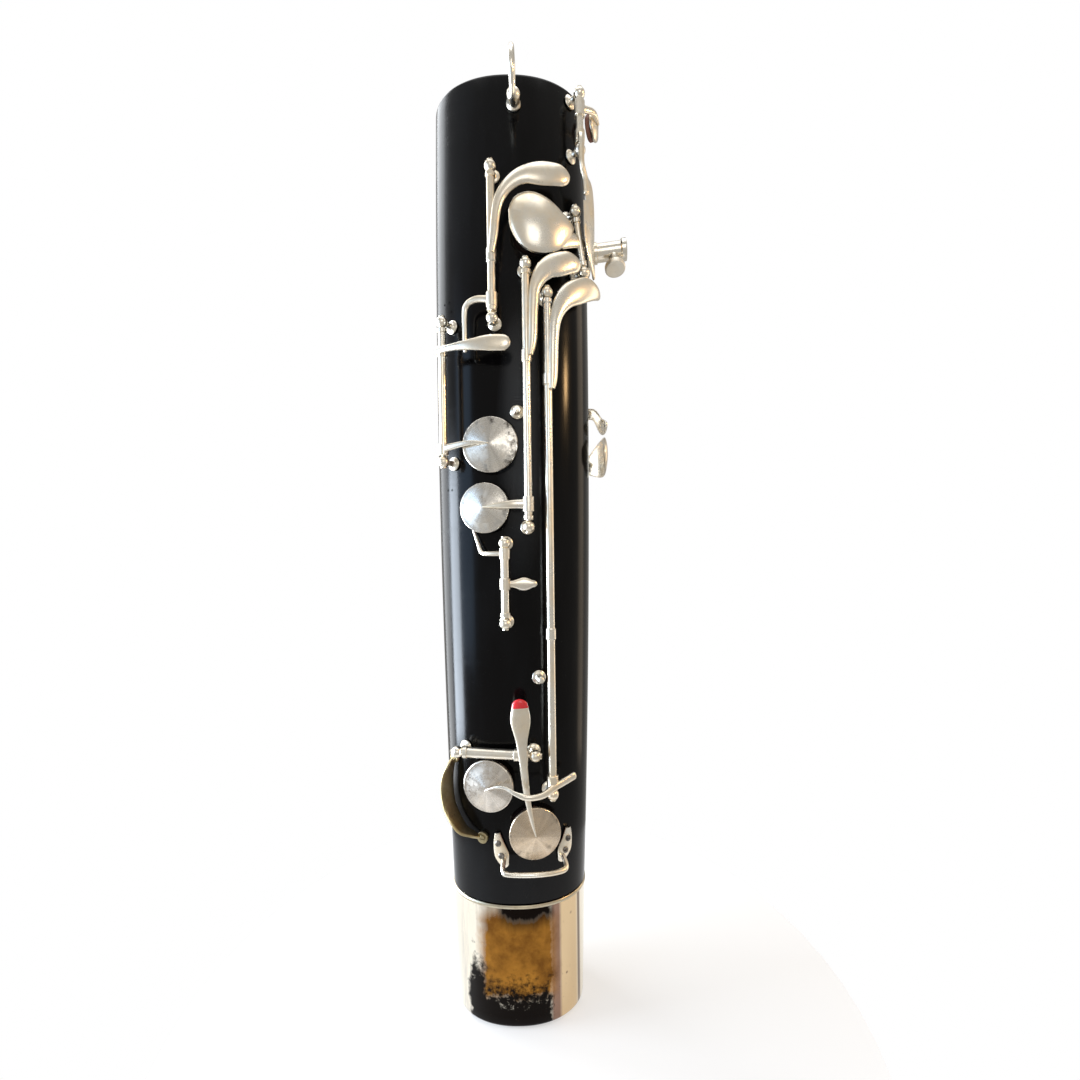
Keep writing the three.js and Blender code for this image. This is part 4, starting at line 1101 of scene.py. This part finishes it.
def build_bflat_keys(look):
    line, lever = begin("bflat_lever")
    collared(line, 322.2, 328.6, lever)
    collared(line, 341.6, 347.6, lever, 2.2)
    lever.take(blade([(-6.2, 345, 1.4), (-5.2, 353, 1.7), (-4.4, 361.5, 1.8), (-2.8, 368.6, 2.2),
                      (1.0, 374.4, 2.8), (6.2, 378.3, 3.7), (12.4, 379.8, 5.1), (18.8, 380.9, 4.9)], 6.6,
                      9.6))
    lever.take(arm(line.at(325.4, 0.6), [(-12.6, 326.4, 6.6), (-16.6, 324.6, 6.1), (-17.5, 319.8, 5.9),
                                         (-17.4, 305, 5.9)], 1.6, 1.1, 0.9))
    key_piece("bflat_lever_long", lever, "bflat_lever", "bflat_lever", look, 0.012)
    line, key = begin("bflat_pad")
    for height in (262.6, 306.3):
        collared(line, height - 2.4, height + 2.4, key, 2.35)
    key.take(blade([(-27.2, 306.3, 1.6), (-21, 306.2, 1.6), (-14.5, 306.1, 2.4), (-8, 306.2, 3.4),
                    (-2.6, 306, 3.5)], 8.3, 10.2))
    key.take(round_bar(line.at(306.3), thumb(-25.4, 306.3, 9.1), 1.5))
    key.take(arm(line.at(262.6), [(-25, 263, 7.9), (-16, 264.4, 6.9), (-8.9, 264.0, CUP_TOP + 0.45)], 2.0,
                 1.1))
    key_piece("bflat_key_long", key, "bflat_pad_key", "bflat_pad_key", look, 0.027)
    cup_and_pad("bflat", "bflat_pad_key", 12.4, 11.2, look, 0.13, 1.0)


def build_low_e_key(look):
    _, key = begin("low_e")
    outline = [(0.4, 364), (2.8, 369.6), (8.6, 372.4), (15.6, 370.4), (21.6, 365.1), (25.4, 359.6),
               (20.6, 349.6), (14.3, 346.2), (8.4, 346.9), (4.0, 350.6), (1.0, 357)]
    key.take(pear_plate(outline, 5.8, 7.2, 10.2, thumb))
    key.take(blade([(20, 354.2, 4.6), (24, 355.2, 3.6), (27.6, 356, 2.8)], 5.7, 7.3, pieces=16))
    turn, z = SEATS["low_e"][:2]
    dish = [(0, 5.3), (8.9, 5.3), (9.1, 3.9), (9.5, 3.9), (9.8, 5.0), (9.4, 6.2), (0, 6.4)]
    key.take(turned(dish, 56), skin_frame(turn, z))
    key_piece("low_e_plate", key, "low_e_plate_key", "low_e_key", look, 0.041, 0.3, 0.8)
    pad_piece("low_e", "low_e_key", 9.2, OPEN_LIFT - 0.7)


def build_fsharp_keys(look):
    line, key = begin("fsharp")
    collared(line, 233.8, 240.4, key)
    collared(line, 298.2, 303.6, key, 2.25)
    key.take(blade([(8.0, 301, 1.2), (9.0, 308, 1.7), (9.5, 322.8, 1.9), (10.4, 331, 2.3), (13.6, 337.6, 3.7),
                    (18, 341.2, 4.9), (22.8, 343.9, 4.6)], 6.4, 9.4))
    key.take(arm(line.at(237.2, 0.5), [(0, 237, 7.9), (-6, 236.6, 7.2), (-11.2, 236.2, CUP_TOP + 0.45)],
                 2.2, 1.2))
    key_piece("fsharp_key_long", key, "fsharp_thumb_key", "fsharp_key", look, 0.052)
    cup_and_pad("fsharp", "fsharp_key", 11.2, 9.2, look, 0.27, 0.7)
    line, lever = begin("link_lever")
    collared(line, 213.4, 218.4, lever, 2.3)
    collared(line, 200.2, 205.2, lever, 2.3)
    lever.take(blade([(-4.4, 202.8, 1.2), (0, 202.7, 1.5), (4.6, 202.6, 2.9), (8.2, 202.6, 1.6)], 5.8, 7.6,
                     pieces=22))
    lever.take(arm(line.at(215.9), [(-9, 215.9, 5.6), (-12.4, 216.4, 4.2), (-14.4, 220.5, 2.8),
                                    (-16.8, 226.4, 1.45)], 1.1, 0.8, 0.65))
    key_piece("link_lever_short", lever, "link_lever", "link_lever", look, 0.061)


def build_gsharp_key(look):
    line, key = begin("gsharp")
    reach = BALL + GAP
    collar(key, line.low, line.up, reach, reach + 5.6, 2.5)
    for height in (178.0, 289.0):
        collared(line, height, height + 5.0, key, 2.2)
    key.take(blade([(15.8, 287, 1.2), (16.4, 293, 1.7), (16.9, 310.6, 1.9), (18, 319.2, 2.3),
                    (20.6, 325.8, 3.4), (24.6, 330.8, 4.7), (30.6, 336, 4.4)], 6.4, 9.4))
    key.take(arm(thumb(22.4, 116, 7), [(18, 114.6, 7.7), (14.4, 113.6, 9.0), (10, 111.6, 10.7),
                                       (4.6, 111.4, 11.4), (0.2, 112.8, 10.1), (-3.6, 114.4, 8.4),
                                       (-7.6, 114.1, 7.4),
                                       (-11.6, 112.1, CUP_TOP + 0.45)], 1.7, 1.15, pieces=44))
    key_piece("gsharp_key_long", key, "gsharp_thumb_key", "gsharp_key", look, 0.073)
    cup_and_pad("gsharp", "gsharp_key", 11.6, 10.4, look, 0.41, 0.35)


def build_red_tip_key(look):
    line, key = begin("red_tip")
    span = (line.high - line.low).length
    collar(key, line.low, line.up, span - 9.4, span - 3.4, 2.75)
    key.take(blade([(3.6, 124, 1.6), (2.9, 134, 2.2), (2.5, 143, 3.8), (2.38, 149.2, 3.2)], 7.2, 9.2,
                   tip=False))
    key.take(arm(thumb(3.2, 129, 7.6), [(3.8, 120, 6.9), (4.8, 109, 6.1), (6.4, 99, 6.3),
                                        (7.9, 91.8, CUP_TOP + 0.45)], 1.9, 1.1))
    key_piece("red_tip_key_short", key, "red_tip_key", "red_tip_key", look, 0.084)
    tip = Work().take(blade([(2.38, 149.2, 3.3), (2.36, 149.7, 3.2), (2.35, 150.1, 3.05)], 7.15, 9.3,
                            pieces=8))
    tip.finish("red_tip", red_enamel(), "red_tip_key", (), "key_metal")
    cup_and_pad("red_tip", "red_tip_key", 11.6, 10.4, look, 0.55)


def build_side_key(look):
    line, key = begin("side_key")
    collared(line, 413.6, 420.6, key)
    collared(line, 402.6, 407.4, key, 2.3)
    key.take(blade([(-8.5, 386, 1.4), (-6, 383, 4.2), (0, 377, 10.5), (0.5, 368, 11), (-1, 359, 9.2),
                    (1.5, 349.5, 6), (5, 343.6, 1.2)], 6.8, 8.4, by_turn(57.25, -0.195)))
    x, y = line.high.x, line.high.y
    rod = (Vector((x, y - 0.5, 405)), Vector((x + 0.2, y - 3.9, 402)), Vector((x + 0.3, y - 4.3, 396)),
           Vector((x + 0.4, y - 4.3, 389)), skin(49.5, 384, 9.1), skin(50.5, 378, 8.9))
    key.take(bar([(*point, 1.35, 1.2) for point in rod], 30, 14, 2.0))
    key.take(pointed_bar([line.at(417.6), skin(62, 419.4, 8.8), skin(71.4, 418.7, 8.6)], 1.8, 1.1, 0.3))
    place = skin_frame(72, 418.6)
    key.take(turned([(0, 6.0), (5.2, 6.0), (5.3, 5.4), (5.8, 5.4), (6.0, 5.8), (5.9, 6.5), (5.3, 6.9),
                     (0, 8.4)], 48), place)
    key_piece("side_key_long", key, "side_key", "side_key", look, 0.093, 0.7, 0.9)
    pad = Work().take(turned([(0, 3.1), (3.2, 3.1), (3.4, 3.3), (3.6, 3.0), (4.9, 3.0), (5.4, 3.5),
                              (5.4, 4.9), (5.2, 5.1), (0, 5.1)], 40), place)
    leather_piece("side", "side_key", pad)


def build_finger_keys(look):
    line, low = begin("low_f")
    collared(line, 169, 175, low)
    collared(line, 258.5, 265.5, low)
    low.take(blade([(30, 262, 5), (16, 263.5, 9), (2, 264, 9.5), (-10, 264, 5)], 7.2, 9.2, by_turn(90)))
    low.take(round_bar(line.at(262), skin(116, 262, 8.2), 1.6))
    low.take(pointed_bar([line.at(172), skin(146, 172, 7.6), skin(163.4, 172, CUP_TOP + 0.45)], 2.0, 1.1,
                         0.25))
    key_piece("low_f_key_long", low, "low_f_key", "low_f_key", look, 0.102)
    cup_and_pad("low_f", "low_f_key", 12.0, 10.8, look, 0.63)
    line, high = begin("aflat")
    collared(line, 315, 321, high)
    collared(line, 286.8, 293.2, high)
    high.take(blade([(30, 290, 3), (22, 288, 3), (12, 281, 4), (2, 278.6, 3.6), (-8, 278.2, 1.6)], 7.2, 9.2,
                    by_turn(90)))
    high.take(round_bar(line.at(290), skin(117, 290, 8.2), 1.6))
    high.take(pointed_bar([line.at(318), skin(144, 318, 7.6), skin(157.5, 318, CUP_TOP + 0.45)], 2.0, 1.1,
                          0.25))
    key_piece("aflat_key_long", high, "aflat_key", "aflat_key", look, 0.113)
    cup_and_pad("aflat", "aflat_key", 9.0, 7.8, look, 0.71)
    line, plate = begin("g_plate")
    collared(line, 225, 231, plate)
    plate.take(pointed_bar([line.at(228), skin(203, 228, 8.6), skin(186, 228, OPEN_LIFT + CUP_TOP + 0.45)],
                           2.0, 1.1, 0.25))
    key_piece("g_plate_key_short", plate, "g_plate_key", "g_plate_key", look, 0.124)
    cup_and_pad("g_plate", "g_plate_key", 10.0, 8.8, look, 0.83, lift=OPEN_LIFT)


def build_springs():
    """A needle spring set in the low post of each hinge, running under its tube."""
    steel = blued_steel()
    for key, line in HINGES.items():
        inward = -normal_at(line.turns[0], line.low.z)
        root = line.low + inward * 2.0
        reach = min(SPRING_REACH, (line.high - line.low).length * 0.5)
        end = root + line.up * reach - inward * 0.25
        thick, thin = SPRING_RADIUS
        rows = [(*root.lerp(end, i / 6), *[thick - (thick - thin) * i / 6] * 2) for i in range(7)]
        Work().take(bar(rows, 12, 10, 2.0)).finish(f"{key}_needle_spring", steel, "boot", (), "post_metal")


# ---- Floor, lights and camera -------------------------------------------------------------

FLOOR_RADIUS = 0.16
FLOOR_DROP = 0.0004
SURROUND_TONE = (0.97, 0.94, 0.89)
# Name, place, height aimed at, size, share of the light power, tint
LIGHTS = (
    ("left panel", (-0.64, -0.05, 0.12), 0.18, (0.26, 0.48), 30.0, (0.78, 0.88, 1.0)),
    ("left blue panel", (-0.60, -0.34, 0.30), 0.24, (0.3, 0.6), 4.0, (0.45, 0.68, 1.0)),
    ("left edge panel", (-0.50, 0.26, 0.42), 0.30, (0.34, 1.3), 14.0, (0.92, 0.96, 1.0)),
    ("front box", (0.10, -0.75, 0.45), 0.22, (0.34, 0.34), 1.6, (1.0, 0.98, 0.95)),
    ("right edge panel", (0.48, 0.14, 0.25), 0.22, (0.16, 0.7), 1.5, (1.0, 0.80, 0.58)),
    ("warm lamp", (0.62, -0.26, 0.50), 0.24, (0.06, 0.06), 2.6, (1.0, 0.62, 0.28)),
    ("top box", (0.0, -0.1, 1.0), 0.2, (0.6, 0.6), 4.0, (1.0, 1.0, 1.0)),
)
LENS, SENSOR, LENS_SHIFT = 16.8, 36.0, 0.0093
CAMERA_X, CAMERA_HEIGHT, CAMERA_ROLL = 0.01225, 0.2172, -0.0131


def area_light(name, place, target, size, power_watts, tint):
    lamp = bpy.data.lights.new(name, "AREA")
    lamp.shape = "RECTANGLE"
    lamp.size, lamp.size_y = size
    lamp.energy = power_watts
    lamp.color = tint
    holder = bpy.data.objects.new(name, lamp)
    holder.location = place
    holder.rotation_euler = (Vector(target) - Vector(place)).to_track_quat("-Z", "Y").to_euler()
    bpy.context.scene.collection.objects.link(holder)


def build_world(tone, strength):
    """Plain white seen directly, and a dimmer warm surround that lights and reflects."""
    world = bpy.data.worlds.new("studio surround")
    world.use_nodes = True
    tree = world.node_tree
    tree.nodes.clear()
    rays = tree.nodes.new("ShaderNodeLightPath")
    blend = tree.nodes.new("ShaderNodeMixShader")
    tree.links.new(rays.outputs["Is Camera Ray"], blend.inputs[0])
    for slot, hue, level in ((1, tone, strength), (2, (1, 1, 1), 1.0)):
        ground = tree.nodes.new("ShaderNodeBackground")
        ground.inputs["Color"].default_value = (*hue, 1)
        ground.inputs["Strength"].default_value = level
        tree.links.new(ground.outputs[0], blend.inputs[slot])
    sky = tree.nodes.new("ShaderNodeOutputWorld")
    tree.links.new(blend.outputs[0], sky.inputs["Surface"])
    bpy.context.scene.world = world


def build_stage(look):
    floor = bmesh.new()
    bmesh.ops.create_circle(floor, cap_ends=True, segments=64, radius=FLOOR_RADIUS)
    bmesh.ops.translate(floor, vec=(0, 0, -FLOOR_DROP), verts=floor.verts)
    mesh = bpy.data.meshes.new("pale_floor")
    floor.to_mesh(mesh)
    floor.free()
    ground = bpy.data.objects.new("pale_floor", mesh)
    bpy.context.scene.collection.objects.link(ground)
    mesh.materials.append(pale_stage("pale floor", look.floor_colour))
    build_world(SURROUND_TONE, look.surround)
    for name, place, aim, size, share, tint in LIGHTS:
        area_light(name, place, (0, 0, aim), size, share * look.light_power, tint)
    bpy.context.scene.view_settings.view_transform = "Standard"


def build_camera(look):
    lens = bpy.data.cameras.new("viewpoint")
    lens.lens, lens.sensor_width, lens.shift_y = LENS, SENSOR, LENS_SHIFT
    lens.clip_start = 0.01
    viewpoint = bpy.data.objects.new("viewpoint", lens)
    stand = Matrix.Translation((CAMERA_X, -look.camera_distance, CAMERA_HEIGHT))
    level = Matrix.Rotation(math.radians(90), 4, "X")
    viewpoint.matrix_world = stand @ level @ Matrix.Rotation(CAMERA_ROLL, 4, "Z")
    bpy.context.scene.collection.objects.link(viewpoint)
    bpy.context.scene.camera = viewpoint


# ---- The add-on ---------------------------------------------------------------------------

class BootLook(bpy.types.PropertyGroup):
    rubber_colour: FloatVectorProperty(
        name="Rubber", description="Ground colour of the hard rubber", subtype="COLOR", min=0, max=1,
        default=(0.0009, 0.0009, 0.0011))
    rubber_brown: FloatVectorProperty(
        name="Rubber, faded", description="Colour of the rubber where light has browned it", subtype="COLOR",
        min=0, max=1, default=(0.0030, 0.0018, 0.0012))
    rubber_roughness: FloatProperty(
        name="Rubber roughness", description="Polish of the rubber, 0 is a mirror", subtype="FACTOR", min=0,
        max=1, default=0.16)
    key_colour: FloatVectorProperty(
        name="Key metal", description="Tint of the nickel silver keys", subtype="COLOR", min=0, max=1,
        default=(0.86, 0.82, 0.73))
    key_roughness: FloatProperty(
        name="Key roughness", description="Satin of the keys", subtype="FACTOR", min=0, max=1, default=0.24)
    cup_colour: FloatVectorProperty(
        name="Cup metal", description="Tint of the pad cups", subtype="COLOR", min=0, max=1,
        default=(0.81, 0.77, 0.70))
    cup_roughness: FloatProperty(
        name="Cup roughness", description="Satin of the pad cups", subtype="FACTOR", min=0, max=1,
        default=0.15)
    cap_colour: FloatVectorProperty(
        name="Cap metal", description="Tint of the cap where it is clean", subtype="COLOR", min=0, max=1,
        default=(0.86, 0.80, 0.68))
    cap_amber: FloatVectorProperty(
        name="Cap tarnish", description="Amber of the cap's middle patch", subtype="COLOR", min=0, max=1,
        default=(0.37, 0.165, 0.026))
    guard_colour: FloatVectorProperty(
        name="Guard metal", description="Tint of the curved pad guard", subtype="COLOR", min=0, max=1,
        default=(0.36, 0.31, 0.19))
    floor_colour: FloatVectorProperty(
        name="Floor", description="Tone of the floor", subtype="COLOR", min=0, max=1,
        default=(0.40, 0.40, 0.40))
    surround: FloatProperty(
        name="Surround", description="Strength of the surround that the metal reflects", min=0, max=2,
        default=0.50)
    light_power: FloatProperty(
        name="Light power", description="Scale of all the studio lights", min=0, max=10, default=0.45)
    camera_distance: FloatProperty(
        name="Camera distance", description="From the body's middle to the lens", subtype="DISTANCE",
        unit="LENGTH", min=0.1, max=3, default=0.252)


class BOOT_OT_camera(bpy.types.Operator):
    """Place the camera in front of the thumb side"""
    bl_idname = "boot.camera"
    bl_label = "Camera"

    def execute(self, context):
        build_camera(context.scene.boot_look)
        return {"FINISHED"}


class BOOT_OT_body(bpy.types.Operator):
    """Build the hard rubber body with its bores, pad seats and finger holes"""
    bl_idname = "boot.body"
    bl_label = "Body"

    def execute(self, context):
        build_body(context.scene.boot_look)
        return {"FINISHED"}


class BOOT_OT_linings(bpy.types.Operator):
    """Line the two sockets at the top of the body"""
    bl_idname = "boot.linings"
    bl_label = "Socket Linings"

    def execute(self, context):
        build_linings(context.scene.boot_look)
        return {"FINISHED"}


class BOOT_OT_cap(bpy.types.Operator):
    """Build the metal cap and finish the U tube and gasket under it"""
    bl_idname = "boot.cap"
    bl_label = "Cap and U Tube"

    def execute(self, context):
        build_cap(context.scene.boot_look)
        return {"FINISHED"}


class BOOT_OT_posts(bpy.types.Operator):
    """Turn the ball posts with their pivot screws"""
    bl_idname = "boot.posts"
    bl_label = "Ball Posts"

    def execute(self, context):
        build_posts(context.scene.boot_look)
        return {"FINISHED"}


class BOOT_OT_strap_ring(bpy.types.Operator):
    """Build the strap ring and the post that it hangs in"""
    bl_idname = "boot.strap_ring"
    bl_label = "Strap Ring"

    def execute(self, context):
        build_strap_ring(context.scene.boot_look)
        return {"FINISHED"}


class BOOT_OT_hand_rest(bpy.types.Operator):
    """Build the hand rest socket and its thumb screw"""
    bl_idname = "boot.hand_rest"
    bl_label = "Hand Rest Socket"

    def execute(self, context):
        build_hand_rest(context.scene.boot_look)
        return {"FINISHED"}


class BOOT_OT_guards(bpy.types.Operator):
    """Build the two pad guards near the cap"""
    bl_idname = "boot.guards"
    bl_label = "Pad Guards"

    def execute(self, context):
        build_guards(context.scene.boot_look)
        return {"FINISHED"}


class BOOT_OT_bflat_keys(bpy.types.Operator):
    """Build the B flat lever and the pad key that it lifts"""
    bl_idname = "boot.bflat_keys"
    bl_label = "B Flat Keys"

    def execute(self, context):
        build_bflat_keys(context.scene.boot_look)
        return {"FINISHED"}


class BOOT_OT_low_e_key(bpy.types.Operator):
    """Build the low E thumb plate"""
    bl_idname = "boot.low_e_key"
    bl_label = "Low E Plate"

    def execute(self, context):
        build_low_e_key(context.scene.boot_look)
        return {"FINISHED"}


class BOOT_OT_fsharp_keys(bpy.types.Operator):
    """Build the F sharp thumb key and its link lever"""
    bl_idname = "boot.fsharp_keys"
    bl_label = "F Sharp Keys"

    def execute(self, context):
        build_fsharp_keys(context.scene.boot_look)
        return {"FINISHED"}


class BOOT_OT_gsharp_key(bpy.types.Operator):
    """Build the long G sharp thumb key"""
    bl_idname = "boot.gsharp_key"
    bl_label = "G Sharp Key"

    def execute(self, context):
        build_gsharp_key(context.scene.boot_look)
        return {"FINISHED"}


class BOOT_OT_red_tip_key(bpy.types.Operator):
    """Build the short key with the red tip"""
    bl_idname = "boot.red_tip_key"
    bl_label = "Red Tip Key"

    def execute(self, context):
        build_red_tip_key(context.scene.boot_look)
        return {"FINISHED"}


class BOOT_OT_side_key(bpy.types.Operator):
    """Build the key on the right edge"""
    bl_idname = "boot.side_key"
    bl_label = "Side Key"

    def execute(self, context):
        build_side_key(context.scene.boot_look)
        return {"FINISHED"}


class BOOT_OT_finger_keys(bpy.types.Operator):
    """Build the little finger keys and the plate on the finger side"""
    bl_idname = "boot.finger_keys"
    bl_label = "Finger Side Keys"

    def execute(self, context):
        build_finger_keys(context.scene.boot_look)
        return {"FINISHED"}


class BOOT_OT_springs(bpy.types.Operator):
    """Set the needle springs"""
    bl_idname = "boot.springs"
    bl_label = "Needle Springs"

    def execute(self, context):
        build_springs()
        return {"FINISHED"}


class BOOT_OT_stage(bpy.types.Operator):
    """Build the floor, the surround and the lights"""
    bl_idname = "boot.stage"
    bl_label = "Stage"

    def execute(self, context):
        build_stage(context.scene.boot_look)
        return {"FINISHED"}


OPERATORS = (BOOT_OT_camera, BOOT_OT_body, BOOT_OT_linings, BOOT_OT_cap, BOOT_OT_posts, BOOT_OT_strap_ring,
             BOOT_OT_hand_rest, BOOT_OT_guards, BOOT_OT_bflat_keys, BOOT_OT_low_e_key, BOOT_OT_fsharp_keys,
             BOOT_OT_gsharp_key, BOOT_OT_red_tip_key, BOOT_OT_side_key, BOOT_OT_finger_keys, BOOT_OT_springs,
             BOOT_OT_stage)


class BOOT_PT_panel(bpy.types.Panel):
    bl_label = "Bassoon Boot Joint"
    bl_idname = "BOOT_PT_panel"
    bl_space_type = "VIEW_3D"
    bl_region_type = "UI"
    bl_category = "Boot Joint"

    def draw(self, context):
        look = context.scene.boot_look
        for name in BootLook.__annotations__:
            self.layout.prop(look, name)
        for operator in OPERATORS:
            self.layout.operator(operator.bl_idname)


CLASSES = (BootLook, *OPERATORS, BOOT_PT_panel)


def register():
    for cls in CLASSES:
        bpy.utils.register_class(cls)
    bpy.types.Scene.boot_look = PointerProperty(type=BootLook)


def unregister():
    del bpy.types.Scene.boot_look
    for cls in reversed(CLASSES):
        bpy.utils.unregister_class(cls)


def main():
    register()
    for operator in OPERATORS:
        group, name = operator.bl_idname.split(".")
        getattr(getattr(bpy.ops, group), name)()


if __name__ == "__main__":
    main()
